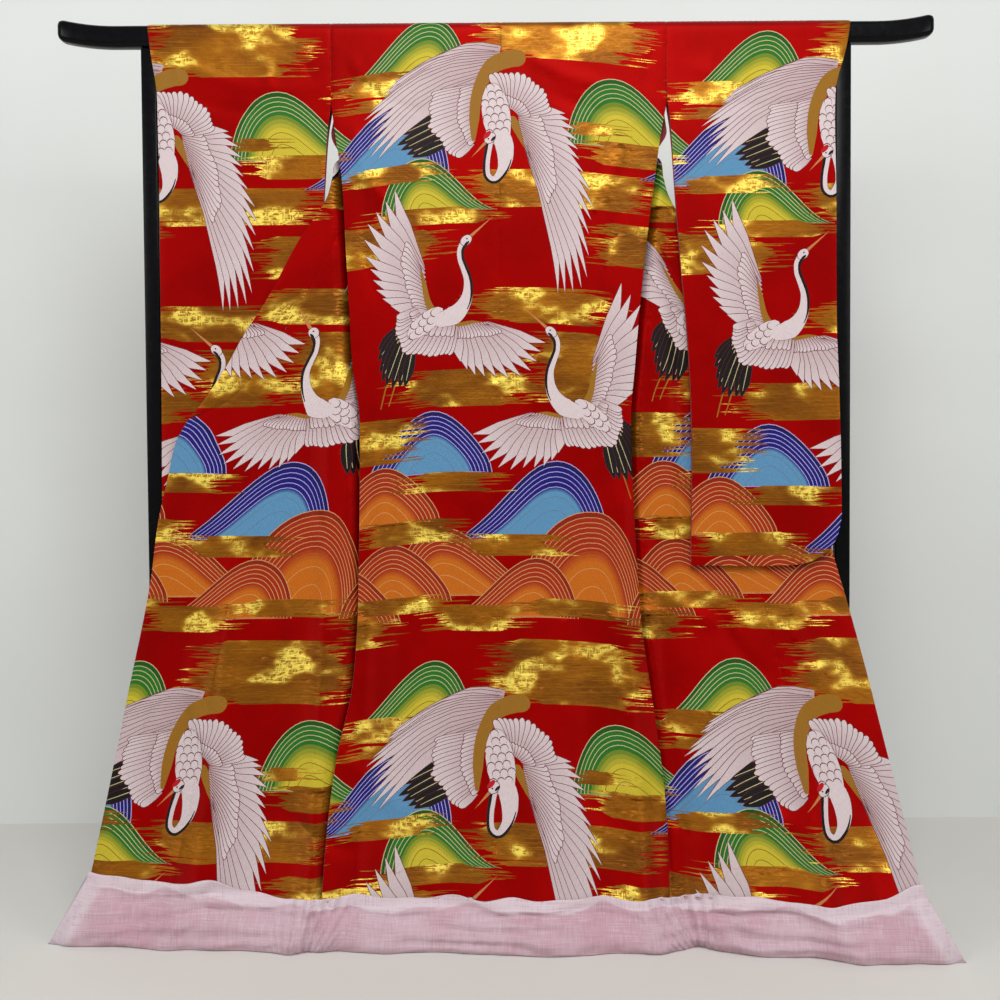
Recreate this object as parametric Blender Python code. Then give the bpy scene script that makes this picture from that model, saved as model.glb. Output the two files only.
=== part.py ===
"""An uchikake wedding kimono hung from its shoulders on a lacquered stand, its back to the viewer.

Metres, +Z up. X runs along the bar and -Y is the side that shows the garment's back.
Every piece of cloth is a thin wall laid through sections, one section for each height.
The front panels leave the side seams and spread outward, the left one before its sleeve and
the right one behind its sleeve. What they have too much of hangs in a deep fold behind the back.
"""

import math
from collections import namedtuple
from functools import lru_cache

import bpy
import numpy as np

CLOTH = 0.0024          # padded, lined silk
SEAM = 0.0004           # open seam between two pieces
HEM_SEAM = 0.0020       # the leaning cloth above the padded hem
LEFT, RIGHT = -1, 1

# The stand
BAR_HALF_LENGTH = 0.825
BAR_TOP = 1.690
BAR_HALF_HEIGHT = 0.020
BAR_HALF_DEPTH = 0.017
BAR_END_RISE = 0.014
BAR_END_RUN = 0.11
POST_OUTER = 0.669
POST_WIDTH = 0.0295
POST_DEPTH = 0.018
FOOT_REACH = 0.135
FOOT_HEIGHT = 0.095
FOOT_TIP = 0.026
FOOT_WIDTH = 0.052
RAIL_HEIGHT = 0.045
RAIL_BOTTOM = 0.185
JOINT_GAP = 0.0003

# The hang of the cloth
OVER_BAR = 0.0004                                   # the cloth's near face from the bar's face
SHEET_TOP = -(BAR_HALF_DEPTH + OVER_BAR + CLOTH / 2)
HEM_LEVEL = 0.100
LEAN_POWER = 4                                      # straight down at first, then out to the hem
NECK_ENDS = {LEFT: 0.0948, RIGHT: 0.0998}             # the neck collar's ends, sewn to the fronts
NECK_TAPER = 0.035
COLLAR_TOP = BAR_TOP - 0.003
COLLAR_WIDTH = 0.070
COLLAR_END = 0.958
COLLAR_EASE = 0.0028                                # the seam opens a little where it turns in the fold
ARMHOLE_FOOT = 1.460                                # below this the front is sewn to the back
MITRE = 0.0016                                      # the front panel's edge inside the armhole seam
LINING_SHOWS = 0.016                                # how far the front's edge shows its lining in the open armhole
CLEAR_OF_SLEEVE = 0.004                             # and how near it comes to the sleeve
SEAM_DEPTH = 0.0031                                 # the front's edge lies this far behind the back's

# How far the hem stands before the bar, along the floor
HemRow = namedtuple("HemRow", "x reach top")
HEM_LINE = [
    HemRow(-0.822, 0.116, 0.118),
    HemRow(-0.750, 0.124, 0.118),
    HemRow(-0.620, 0.138, 0.102),
    HemRow(-0.540, 0.148, 0.108),
    HemRow(-0.440, 0.156, 0.090),
    HemRow(-0.320, 0.158, 0.081),
    HemRow(-0.175, 0.162, 0.085),
    HemRow(0.000, 0.174, 0.083),
    HemRow(0.150, 0.183, 0.085),
    HemRow(0.250, 0.168, 0.082),
    HemRow(0.316, 0.156, 0.080),
    HemRow(0.373, 0.172, 0.086),
    HemRow(0.470, 0.200, 0.088),
    HemRow(0.575, 0.222, 0.084),
    HemRow(0.660, 0.240, 0.099),
    HemRow(0.731, 0.246, 0.118),
    HemRow(0.800, 0.240, 0.118),
]

# Soft upright folds that every layer shares: depth is forward, start is where the fold begins
Fold = namedtuple("Fold", "x_high x_low depth width start")
FOLDS = [
    Fold(-0.700, -0.715, 0.006, 0.030, 0.60),
    Fold(-0.560, -0.640, -0.007, 0.030, 0.80),
    Fold(-0.470, -0.560, 0.009, 0.026, 0.90),
    Fold(-0.380, -0.430, -0.006, 0.034, 1.00),
    Fold(-0.300, -0.345, 0.012, 0.022, 1.25),
    Fold(-0.235, -0.270, -0.009, 0.022, 1.25),
    Fold(-0.165, -0.190, 0.008, 0.026, 1.10),
    Fold(-0.080, -0.100, -0.005, 0.034, 0.80),
    Fold(0.060, 0.070, 0.006, 0.040, 0.75),
    Fold(0.150, 0.180, -0.008, 0.028, 1.00),
    Fold(0.215, 0.255, 0.011, 0.022, 1.20),
    Fold(0.285, 0.330, -0.010, 0.022, 1.10),
    Fold(0.390, 0.420, 0.008, 0.028, 0.62),
    Fold(0.500, 0.500, -0.008, 0.026, 0.64),
    Fold(0.545, 0.570, 0.012, 0.024, 0.66),
    Fold(0.640, 0.660, -0.007, 0.026, 0.58),
]
FOLD_GROWTH = 0.55

# The back: one half on each side of the centre seam
BackRow = namedtuple("BackRow", "height left centre right")
BACK = [
    BackRow(1.693, 0.3100, 0.008, 0.3200),
    BackRow(1.550, 0.3100, 0.007, 0.3200),
    BackRow(1.482, 0.3030, 0.006, 0.3090),
    BackRow(1.411, 0.2930, 0.005, 0.2990),
    BackRow(1.281, 0.2860, 0.004, 0.2820),
    BackRow(1.162, 0.2805, 0.003, 0.2690),
    BackRow(1.052, 0.2750, 0.002, 0.2590),
    BackRow(0.940, 0.2620, 0.000, 0.2500),
    BackRow(0.684, 0.2650, -0.003, 0.2580),
    BackRow(0.551, 0.2680, -0.005, 0.2660),
    BackRow(0.434, 0.2780, -0.006, 0.2810),
    BackRow(0.330, 0.3010, -0.007, 0.2940),
    BackRow(0.202, 0.3160, -0.008, 0.3030),
    BackRow(0.080, 0.3220, -0.008, 0.3020),
]

# A front panel, its overlap panel and its collar, all at one height, as widths of cloth.
# free is the free edge's distance from the middle, side_back is how far the side edge lies
# behind the hanging line, and parted is how far apart the legs of the deep fold hang.
FrontRow = namedtuple("FrontRow", "height free front overlap collar side_back parted")
FRONT_LEFT = [
    FrontRow(1.6917, 0.025, 0.2135, 0.000, 0.070, 0.0200, 0.0045),
    FrontRow(1.6600, 0.026, 0.2135, 0.000, 0.070, 0.0400, 0.0045),
    FrontRow(1.6000, 0.080, 0.2200, 0.000, 0.070, 0.0400, 0.0160),
    FrontRow(1.5500, 0.130, 0.2320, 0.000, 0.070, 0.0380, 0.0270),
    FrontRow(1.4900, 0.238, 0.2500, 0.000, 0.070, 0.0250, 0.0300),
    FrontRow(1.4400, 0.300, 0.2650, 0.000, 0.070, 0.0030, 0.0270),
    FrontRow(1.4000, 0.310, 0.2750, 0.000, 0.070, 0.0000, 0.0230),
    FrontRow(1.3700, 0.318, 0.2800, 0.000, 0.070, 0.0000, 0.0220),
    FrontRow(1.2910, 0.370, 0.2950, 0.000, 0.070, 0.0000, 0.0200),
    FrontRow(1.1620, 0.443, 0.3000, 0.000, 0.070, 0.0000, 0.0180),
    FrontRow(1.1070, 0.480, 0.3000, 0.005, 0.070, 0.0000, 0.0170),
    FrontRow(1.0500, 0.512, 0.3000, 0.030, 0.065, 0.0000, 0.0160),
    FrontRow(0.9700, 0.568, 0.3000, 0.105, 0.035, 0.0000, 0.0150),
    FrontRow(0.9450, 0.588, 0.3000, 0.148, 0.000, 0.0000, 0.0150),
    FrontRow(0.9110, 0.607, 0.3000, 0.156, 0.000, 0.0000, 0.0145),
    FrontRow(0.8450, 0.623, 0.3000, 0.156, 0.000, 0.0000, 0.0140),
    FrontRow(0.7610, 0.642, 0.3000, 0.156, 0.000, 0.0000, 0.0130),
    FrontRow(0.6500, 0.656, 0.3000, 0.156, 0.000, 0.0000, 0.0120),
    FrontRow(0.4480, 0.693, 0.3000, 0.156, 0.000, 0.0000, 0.0100),
    FrontRow(0.2530, 0.726, 0.3000, 0.156, 0.000, 0.0000, 0.0090),
    FrontRow(0.1050, 0.751, 0.3000, 0.156, 0.000, 0.0000, 0.0080),
]
FRONT_RIGHT = [
    FrontRow(1.6917, 0.030, 0.2185, 0.000, 0.070, 0.0200, 0.0045),
    FrontRow(1.6600, 0.031, 0.2185, 0.000, 0.070, 0.0400, 0.0045),
    FrontRow(1.6000, 0.088, 0.2220, 0.000, 0.070, 0.0400, 0.0160),
    FrontRow(1.5500, 0.140, 0.2320, 0.000, 0.070, 0.0380, 0.0270),
    FrontRow(1.4900, 0.245, 0.2500, 0.000, 0.070, 0.0250, 0.0300),
    FrontRow(1.4400, 0.306, 0.2650, 0.000, 0.070, 0.0030, 0.0270),
    FrontRow(1.4000, 0.314, 0.2750, 0.000, 0.070, 0.0000, 0.0230),
    FrontRow(1.3700, 0.323, 0.2800, 0.000, 0.070, 0.0000, 0.0220),
    FrontRow(1.2910, 0.368, 0.2950, 0.000, 0.070, 0.0000, 0.0200),
    FrontRow(1.1620, 0.440, 0.3000, 0.000, 0.070, 0.0000, 0.0180),
    FrontRow(1.1070, 0.475, 0.3000, 0.005, 0.070, 0.0000, 0.0170),
    FrontRow(1.0500, 0.508, 0.3000, 0.030, 0.065, 0.0000, 0.0160),
    FrontRow(0.9700, 0.556, 0.3000, 0.105, 0.035, 0.0000, 0.0150),
    FrontRow(0.9450, 0.572, 0.3000, 0.148, 0.000, 0.0000, 0.0150),
    FrontRow(0.9110, 0.588, 0.3000, 0.156, 0.000, 0.0000, 0.0145),
    FrontRow(0.8450, 0.604, 0.3000, 0.156, 0.000, 0.0000, 0.0140),
    FrontRow(0.7060, 0.624, 0.3000, 0.156, 0.000, 0.0000, 0.0125),
    FrontRow(0.5980, 0.650, 0.3000, 0.156, 0.000, 0.0000, 0.0110),
    FrontRow(0.5240, 0.666, 0.3000, 0.156, 0.000, 0.0000, 0.0105),
    FrontRow(0.3880, 0.691, 0.3000, 0.148, 0.000, 0.0000, 0.0095),
    FrontRow(0.2450, 0.714, 0.3000, 0.136, 0.000, 0.0000, 0.0090),
    FrontRow(0.1050, 0.731, 0.3000, 0.134, 0.000, 0.0000, 0.0080),
]

# The deep fold of spare cloth behind each side seam
FOLD_LEAN = 0.28                                    # its legs hang away from the back
PASS_WIDTH = 0.020                                  # where the cloth comes forward again
BEHIND_SLEEVE = 0.0105                              # the right front lies this far behind

# A sleeve: one strip folded over the bar, parted on the bar's top into two walls. inner is the
# open edge beside the body, outer is the mouth above the cuff level and a closed edge below it.
SleeveRow = namedtuple("SleeveRow", "height inner outer")
SLEEVE_LEFT = [
    SleeveRow(1.693, 0.3104, 0.654),
    SleeveRow(1.640, 0.3104, 0.648),
    SleeveRow(1.550, 0.3104, 0.6370),
    SleeveRow(1.490, 0.3180, 0.6370),
    SleeveRow(1.380, 0.3260, 0.6370),
    SleeveRow(1.235, 0.3370, 0.6375),
    SleeveRow(1.044, 0.3520, 0.6375),
    SleeveRow(0.860, 0.3560, 0.6375),
    SleeveRow(0.660, 0.3520, 0.6370),
]
SLEEVE_RIGHT = [
    SleeveRow(1.693, 0.3204, 0.666),
    SleeveRow(1.640, 0.3204, 0.657),
    SleeveRow(1.560, 0.3204, 0.6370),
    SleeveRow(1.493, 0.3270, 0.6350),
    SleeveRow(1.377, 0.3340, 0.6370),
    SleeveRow(1.235, 0.3450, 0.6375),
    SleeveRow(1.110, 0.3560, 0.6380),
    SleeveRow(1.020, 0.3615, 0.6410),
    SleeveRow(0.867, 0.3640, 0.6430),
    SleeveRow(0.660, 0.3590, 0.6400),
]
SleeveBottom = namedtuple("SleeveBottom", "x height")
SLEEVE_BOTTOM = [
    SleeveBottom(0.350, 0.670),
    SleeveBottom(0.500, 0.668),
    SleeveBottom(0.571, 0.673),
    SleeveBottom(0.600, 0.686),
    SleeveBottom(0.622, 0.706),
    SleeveBottom(0.637, 0.742),
    SleeveBottom(0.640, 0.760),
]
CUFF_LEVEL = 1.400
LAYERS_APART = {LEFT: 0.0165, RIGHT: 0.010}         # between the two layers' mid lines
LAYERS_SEWN = CLOTH + SEAM
EDGE_ROUND = 0.030                                  # how far from a closed edge the layers part
PUSH_BACK = {LEFT: 0.0075, RIGHT: -0.0055}          # the near layer, from the hanging line
JOIN_HIGH, JOIN_LOW = 1.640, 1.370                  # from the bar's depth to one flat sheet

# The gauze over the padded hem: a round band, flat where it lies on the floor
BandPoint = namedtuple("BandPoint", "forward rise")
BAND = [
    BandPoint(0.0014, 1.00),
    BandPoint(0.0085, 0.86),
    BandPoint(0.0200, 0.62),
    BandPoint(0.0300, 0.36),
    BandPoint(0.0330, 0.16),
    BandPoint(0.0290, 0.03),
    BandPoint(0.0230, 0.00),
    BandPoint(-0.0010, 0.00),
    BandPoint(-0.0060, 0.08),
    BandPoint(-0.0065, 0.40),
    BandPoint(-0.0014, 1.00),
]
BAND_SECTIONS = 54
BAND_LOW_LEFT, BAND_LOW_RIGHT = -0.822, 0.800
BAND_HIGH_LEFT, BAND_HIGH_RIGHT = -0.752, 0.732
PUCKERS = (-0.320, 0.318)
PUCKER_WIDTH = 0.016
PUCKER_DEPTH = 0.30

BACK_COLUMNS = 8
FRONT_COLUMNS = 14
OVERLAP_COLUMNS = 4
COLLAR_COLUMNS = 3
SLEEVE_COLUMNS = 8

Finish = namedtuple("Finish", "colour roughness metallic")
FINISHES = {
    "silk_brocade": Finish((0.42, 0.012, 0.010, 1.0), 0.42, 0.0),
    "hem_gauze": Finish((0.80, 0.52, 0.56, 1.0), 0.90, 0.0),
    "black_lacquer": Finish((0.006, 0.006, 0.007, 1.0), 0.12, 0.0),
}


def smooth(value):
    """0 to 1 with level ends."""
    held = np.clip(value, 0.0, 1.0)
    return held * held * (3.0 - 2.0 * held)


def through(rows, key, column, at):
    """The column's value at a place, on a smooth curve through the rows of a table."""
    places = np.array([getattr(row, key) for row in rows])
    values = np.array([getattr(row, column) for row in rows])
    if places[0] > places[-1]:
        places, values = places[::-1], values[::-1]
    slopes = np.gradient(values, places)
    rises = np.diff(values) / np.diff(places)
    for i, rise in enumerate(rises):
        for end in (i, i + 1):
            low, high = sorted((0.0, 3.0 * rise))
            slopes[end] = min(max(slopes[end], low), high)
    at = min(max(at, places[0]), places[-1])
    i = min(int(np.searchsorted(places, at, side="right")) - 1, len(places) - 2)
    span = places[i + 1] - places[i]
    t = (at - places[i]) / span
    return float(
        values[i] * (1 + 2 * t) * (1 - t) ** 2
        + slopes[i] * span * t * (1 - t) ** 2
        + values[i + 1] * t * t * (3 - 2 * t)
        + slopes[i + 1] * span * t * t * (t - 1)
    )


def hang(x, height):
    """Y of the hanging line: the middle of the back's cloth, which the other layers follow."""
    drop = max(0.0, BAR_TOP - height) / (BAR_TOP - HEM_LEVEL)
    out = through(HEM_LINE, "x", "reach", x) * drop**LEAN_POWER
    for fold in FOLDS:
        growth = float(smooth((fold.start - height) / FOLD_GROWTH))
        if growth == 0.0:
            continue
        low_share = (fold.start - height) / fold.start
        middle = fold.x_high + (fold.x_low - fold.x_high) * low_share
        out += fold.depth * growth * math.exp(-(((x - middle) / fold.width) ** 2))
    return SHEET_TOP - out


def hem_top(x):
    return through(HEM_LINE, "x", "top", x)


def back_point(side, share, height):
    """A point of the back between the centre seam, share 0, and the side edge, share 1."""
    centre = through(BACK, "height", "centre", height) + side * SEAM / 2
    edge = side * through(BACK, "height", "left" if side == LEFT else "right", height)
    x = centre + (edge - centre) * share
    return x, hang(x, height), height


def over_shoulder(facing):
    """Depth and height of the rows that take the cloth from the bar's top down its face."""
    rows = []
    for degrees in (89, 67.5, 45, 22.5, 0):
        angle = math.radians(degrees)
        depth = abs(math.cos(angle)) ** 0.75 * (BAR_HALF_DEPTH + OVER_BAR + CLOTH / 2)
        rise = math.sin(angle) ** 0.75 * (BAR_HALF_HEIGHT + OVER_BAR + CLOTH / 2)
        rows.append((facing * depth, BAR_TOP - BAR_HALF_HEIGHT + rise))
    return rows


def make_wall(name, rows, finish):
    """A closed wall of cloth whose middle runs through rows of points."""
    points = [point for row in rows for point in row]
    across = len(rows[0])
    faces = []
    for i in range(len(rows) - 1):
        for j in range(across - 1):
            corner = i * across + j
            faces.append((corner, corner + 1, corner + across + 1, corner + across))
    mesh = bpy.data.meshes.new(name)
    mesh.from_pydata(points, [], faces)
    mesh.update()
    wall = place(name, mesh, finish)
    solidify = wall.modifiers.new("Wall", "SOLIDIFY")
    solidify.thickness = CLOTH
    solidify.offset = 0.0
    solidify.use_even_offset = True
    solidify.thickness_clamp = 0.0
    mesh.shade_smooth()
    return wall


def place(name, mesh, finish):
    obj = bpy.data.objects.new(name, mesh)
    bpy.context.scene.collection.objects.link(obj)
    obj.data.materials.append(material_of(name, finish))
    return obj


def material_of(name, finish):
    values = FINISHES[finish]
    material = bpy.data.materials.new(f"{name}_{finish}")
    material.use_nodes = True
    shader = material.node_tree.nodes["Principled BSDF"]
    shader.inputs["Base Color"].default_value = values.colour
    shader.inputs["Roughness"].default_value = values.roughness
    shader.inputs["Metallic"].default_value = values.metallic
    return material


def down_from(top, bottom, steps):
    """Heights between two levels, closer together near the top."""
    return [top + (bottom - top) * (k / steps) ** 1.12 for k in range(1, steps + 1)]


def make_back(side):
    shares = [k / BACK_COLUMNS for k in range(BACK_COLUMNS + 1)]
    rows = []
    for depth, height in over_shoulder(-1):
        row = []
        for share in shares:
            x, _, _ = back_point(side, share, height)
            row.append((x, depth, height))
        rows.append(row)
    heights = [1.655, *down_from(1.655, 0.150, 20)]
    for height in heights:
        rows.append([back_point(side, share, height) for share in shares])
    last = []
    for share in shares:
        x, _, _ = back_point(side, share, HEM_LEVEL)
        last.append(back_point(side, share, hem_top(x) + HEM_SEAM))
    rows.append(last)
    return make_wall("back_left" if side == LEFT else "back_right", rows, "silk_brocade")


@lru_cache(maxsize=None)
def fold_at(side, height):
    """The deep fold at one height: where it starts and turns, and how far its two legs part.

    The cloth goes from the side edge inward behind the back, turns, and comes outward again
    behind itself to the free edge.
    """
    table = FRONT_LEFT if side == LEFT else FRONT_RIGHT

    def value(column):
        return through(table, "height", column, height)

    edge = through(BACK, "height", "left" if side == LEFT else "right", height)
    sewn = float(smooth((ARMHOLE_FOOT - height) / 0.05))
    start = edge - MITRE * (1.0 - sewn)
    sleeve_edge = through(SLEEVE_LEFT if side == LEFT else SLEEVE_RIGHT, "height", "inner", height)
    shows = float(smooth((1.655 - height) / 0.04) * smooth((height - 1.445) / 0.05))
    start += shows * max(0.0, min(edge + LINING_SHOWS, sleeve_edge - CLEAR_OF_SLEEVE) - start)
    side_back = value("side_back") + SEAM_DEPTH * sewn
    width = value("front") + value("overlap") + value("collar")
    parted = value("parted")
    radius = 0.8 * parted
    low, high = 0.0, width
    for _ in range(30):
        inward = (low + high) / 2.0
        reach = math.hypot(width - inward, radius) - math.hypot(inward, radius)
        if reach > value("free") - start:
            low = inward
        else:
            high = inward
    turn_x = start - math.hypot(inward, radius) + radius
    return start, side_back, inward, turn_x, radius, parted


def front_point(side, cloth, height):
    """Where the cloth that is this far from the side seam hangs, at one height."""
    start, side_back, inward, turn_x, radius, parted = fold_at(side, height)
    x = turn_x + math.hypot(cloth - inward, radius) - radius
    second_leg = 0.5 + 0.5 * math.tanh((cloth - inward) / (0.7 * radius))
    outside = float(smooth((x - start + 0.003) / PASS_WIDTH)) * second_leg
    loose = float(smooth((1.65 - height) / 0.12))
    behind = side_back * (1.0 - outside)
    behind += parted * second_leg * (1.0 - outside)
    behind += FOLD_LEAN * loose * max(0.0, start - x)
    if side == RIGHT:
        sleeve_edge = through(SLEEVE_RIGHT, "height", "inner", height)
        under = float(smooth((x - (sleeve_edge - 0.045)) / 0.030))
        under *= float(smooth((1.43 - height) / 0.06) * smooth((height - 0.42) / 0.23))
        behind += BEHIND_SLEEVE * under * second_leg
    return side * x, hang(side * max(x, 0.0), height) + behind, height


def front_heights(top, bottom):
    levels = [1.6600, 1.6300, 1.6000, 1.5700, 1.5400, 1.5100, 1.4800, 1.4560, 1.4340, 1.4120, 1.3920]
    levels += [1.3650, 1.3300, 1.2900, 1.2400, 1.1900, 1.1400, 1.0950, 1.0500, 1.0100, 0.9700, 0.9400]
    levels += [0.9000, 0.8500, 0.7900, 0.7300, 0.6700, 0.6100, 0.5500, 0.4900, 0.4300, 0.3700, 0.3100]
    levels += [0.2500, 0.2000, 0.1500]
    return [level for level in levels if bottom < level < top]


def front_row(side, height, first, last, columns):
    """One row of a piece that takes the cloth from first to last, both given by the height."""
    start, end = first(height), last(height)
    return [
        front_point(side, start + (end - start) * k / columns, height) for k in range(columns + 1)
    ]


def front_bottom_row(side, first, last, columns):
    row = []
    start, end = first(HEM_LEVEL), last(HEM_LEVEL)
    for k in range(columns + 1):
        cloth = start + (end - start) * k / columns
        x, _, _ = front_point(side, cloth, HEM_LEVEL)
        row.append(front_point(side, cloth, hem_top(x) + HEM_SEAM))
    return row


def make_front_pieces(side):
    """The front panel, the overlap panel and the collar's long side, cut from one surface."""
    table = FRONT_LEFT if side == LEFT else FRONT_RIGHT
    tag = "left" if side == LEFT else "right"

    def width(*columns):
        return lambda height: sum(through(table, "height", column, height) for column in columns)

    def none(_):
        return 0.0

    def panel_end(height):
        return width("front")(height) - SEAM / 2

    def overlap_start(height):
        return width("front")(height) + SEAM / 2

    def overlap_end(height):
        seam = SEAM / 2 if height > COLLAR_END else 0.0
        collar = 0.0 if height > COLLAR_END else width("collar")(height)
        return width("front", "overlap")(height) - seam + collar

    def collar_start(height):
        eased = COLLAR_EASE * float(smooth((height - 1.44) / 0.05))
        return width("front", "overlap")(height) + SEAM + eased

    def collar_end(height):
        return width("front", "overlap", "collar")(height)

    rows = []
    for depth, height in over_shoulder(1):
        flat = front_row(side, height, none, panel_end, FRONT_COLUMNS)
        rows.append([(x, depth, height) for x, _, _ in flat])
    for height in front_heights(1.70, 0.11):
        rows.append(front_row(side, height, none, panel_end, FRONT_COLUMNS))
    rows.append(front_bottom_row(side, none, panel_end, FRONT_COLUMNS))
    make_wall(f"front_{tag}", rows, "silk_brocade")

    rows = [front_row(side, 1.085, overlap_start, overlap_end, OVERLAP_COLUMNS)]
    for height in front_heights(1.08, 0.11):
        rows.append(front_row(side, height, overlap_start, overlap_end, OVERLAP_COLUMNS))
    rows.append(front_bottom_row(side, overlap_start, overlap_end, OVERLAP_COLUMNS))
    make_wall(f"okumi_{tag}", rows, "silk_brocade")

    rows = [front_row(side, 1.6196, collar_start, collar_end, COLLAR_COLUMNS)]
    for height in front_heights(1.61, COLLAR_END + 0.003):
        rows.append(front_row(side, height, collar_start, collar_end, COLLAR_COLUMNS))
    rows.append(front_row(side, COLLAR_END + 0.002, collar_start, collar_end, COLLAR_COLUMNS))
    make_wall(f"collar_{tag}", rows, "silk_brocade")


def make_neck_collar():
    """The collar's middle, which falls behind the bar between the two fronts."""
    back = -SHEET_TOP
    rows = []
    for drop in (0.0, 0.022, 0.045, COLLAR_WIDTH - 0.003):
        inward = NECK_TAPER * max(0.0, drop - 0.020)
        left, right = -NECK_ENDS[LEFT] + inward, NECK_ENDS[RIGHT] - inward
        row = []
        for k in range(9):
            sag = 0.004 * (1.0 - (k / 4.0 - 1.0) ** 2) * drop / COLLAR_WIDTH
            row.append((left + (right - left) * k / 8.0, back + sag, COLLAR_TOP - drop))
        rows.append(row)
    make_wall("collar_neck", rows, "silk_brocade")


def sleeve_table(side):
    return SLEEVE_LEFT if side == LEFT else SLEEVE_RIGHT


def sleeve_x(side, share, height):
    inner = through(sleeve_table(side), "height", "inner", height)
    outer = through(sleeve_table(side), "height", "outer", height)
    return inner + (outer - inner) * share


def sleeve_depths(side, x, height, bottom):
    """Y of the near and the far layer of a sleeve, which are sewn at the foot and the cuff edge."""
    joined = float(smooth((JOIN_HIGH - height) / (JOIN_HIGH - JOIN_LOW)))
    near = hang(side * x, height) + PUSH_BACK[side] * joined
    outer = through(sleeve_table(side), "height", "outer", height)
    from_foot = float(smooth((height - bottom) / EDGE_ROUND))
    from_edge = float(smooth((outer - x) / EDGE_ROUND))
    closed_edge = float(smooth((CUFF_LEVEL - height) / 0.04))
    part = from_foot * (1.0 - closed_edge * (1.0 - from_edge))
    hanging = LAYERS_SEWN + (LAYERS_APART[side] - LAYERS_SEWN) * part
    apart = -2.0 * SHEET_TOP * (1.0 - joined) + hanging * joined
    return near, near + apart


def make_sleeve(side):
    shares = [k / SLEEVE_COLUMNS for k in range(SLEEVE_COLUMNS + 1)]
    bottoms = []
    for share in shares:
        low_x = sleeve_x(side, share, SLEEVE_BOTTOM[0].height)
        bottoms.append(through(SLEEVE_BOTTOM, "x", "height", low_x))
    steps = [0.0, 0.018, 0.05, 0.10, 0.18, 0.27, 0.36, 0.45, 0.54, 0.62, 0.69, 0.745, 0.80, 0.86, 0.92, 1.0]
    near_rows, far_rows = [], []
    for step in steps:
        near_row, far_row = [], []
        for share, bottom in zip(shares, bottoms):
            height = bottom + (1.655 - bottom) * step
            x = sleeve_x(side, share, height)
            near, far = sleeve_depths(side, x, height, bottom)
            near_row.append((side * x, near, height))
            far_row.append((side * x, far, height))
        near_rows.append(near_row)
        far_rows.append(far_row)
    tag = "left" if side == LEFT else "right"
    for facing, hanging, half in ((-1, near_rows, "back"), (1, far_rows, "front")):
        rows = []
        for depth, height in over_shoulder(facing):
            rows.append([(side * sleeve_x(side, share, height), depth, height) for share in shares])
        make_wall(f"sleeve_{tag}_{half}", rows + hanging[::-1], "silk_brocade")


def make_hem_band():
    points, faces = [], []
    count = len(BAND)
    for i in range(BAND_SECTIONS + 1):
        share = i / BAND_SECTIONS
        high_x = BAND_HIGH_LEFT + (BAND_HIGH_RIGHT - BAND_HIGH_LEFT) * share
        low_x = BAND_LOW_LEFT + (BAND_LOW_RIGHT - BAND_LOW_LEFT) * share
        top = hem_top(high_x)
        middle = hang(high_x, top)
        end = float(smooth(min(share, 1.0 - share) / 0.02))
        fullness = 0.45 + 0.55 * end
        for pucker in PUCKERS:
            fullness -= PUCKER_DEPTH * math.exp(-(((high_x - pucker) / PUCKER_WIDTH) ** 2))
        for point in BAND:
            x = low_x + (high_x - low_x) * point.rise
            forward = point.forward
            if 0.0 < point.rise < 1.0 or forward > 0.02:
                forward *= fullness
            points.append((x, middle - forward, top * point.rise))
        if i:
            for k in range(count):
                a = (i - 1) * count + k
                b = (i - 1) * count + (k + 1) % count
                faces.append((a, b, b + count, a + count))
    faces.append(tuple(reversed(range(count))))
    faces.append(tuple(BAND_SECTIONS * count + k for k in range(count)))
    mesh = bpy.data.meshes.new("hem_cover")
    mesh.from_pydata(points, [], faces)
    mesh.update()
    mesh.shade_smooth()
    return place("hem_cover", mesh, "hem_gauze")


def make_loft(name, sections, finish):
    """A closed body through equal rings of points, capped at both ends."""
    points = [point for ring in sections for point in ring]
    count = len(sections[0])
    faces = [tuple(reversed(range(count)))]
    for i in range(len(sections) - 1):
        for k in range(count):
            a = i * count + k
            b = i * count + (k + 1) % count
            faces.append((a, b, b + count, a + count))
    last = (len(sections) - 1) * count
    faces.append(tuple(last + k for k in range(count)))
    mesh = bpy.data.meshes.new(name)
    mesh.from_pydata(points, [], faces)
    mesh.update()
    mesh.shade_smooth()
    mesh.set_sharp_from_angle(angle=math.radians(40))
    return place(name, mesh, finish)


def make_bar():
    """The top bar: a soft oblong in section, with both ends turned up."""
    sections = []
    centre = BAR_TOP - BAR_HALF_HEIGHT
    for i in range(25):
        x = BAR_HALF_LENGTH * (i / 12.0 - 1.0)
        near_end = max(0.0, abs(x) - (BAR_HALF_LENGTH - BAR_END_RUN)) / BAR_END_RUN
        rise = BAR_END_RISE * near_end**2
        size = 1.0 - 0.10 * max(0.0, near_end - 0.9) / 0.1
        slant = math.copysign(0.005, x) * near_end**4
        ring = []
        for k in range(16):
            angle = 2.0 * math.pi * k / 16
            ring_y = math.copysign(abs(math.cos(angle)) ** 0.75, math.cos(angle))
            ring_z = math.copysign(abs(math.sin(angle)) ** 0.75, math.sin(angle))
            height = centre + rise + BAR_HALF_HEIGHT * size * ring_z
            ring.append((x + slant * ring_z, BAR_HALF_DEPTH * size * ring_y, height))
        sections.append(ring)
    return make_loft("top_bar", sections, "black_lacquer")


def make_block(name, low, high, bevel):
    """A squared timber with its edges eased."""
    corners = [(x, y, z) for x in (low[0], high[0]) for y in (low[1], high[1]) for z in (low[2], high[2])]
    faces = [(0, 1, 3, 2), (4, 6, 7, 5), (0, 4, 5, 1), (2, 3, 7, 6), (0, 2, 6, 4), (1, 5, 7, 3)]
    mesh = bpy.data.meshes.new(name)
    mesh.from_pydata(corners, [], faces)
    mesh.update()
    block = place(name, mesh, "black_lacquer")
    eased = block.modifiers.new("Eased edges", "BEVEL")
    eased.width = bevel
    eased.segments = 2
    return block


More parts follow.
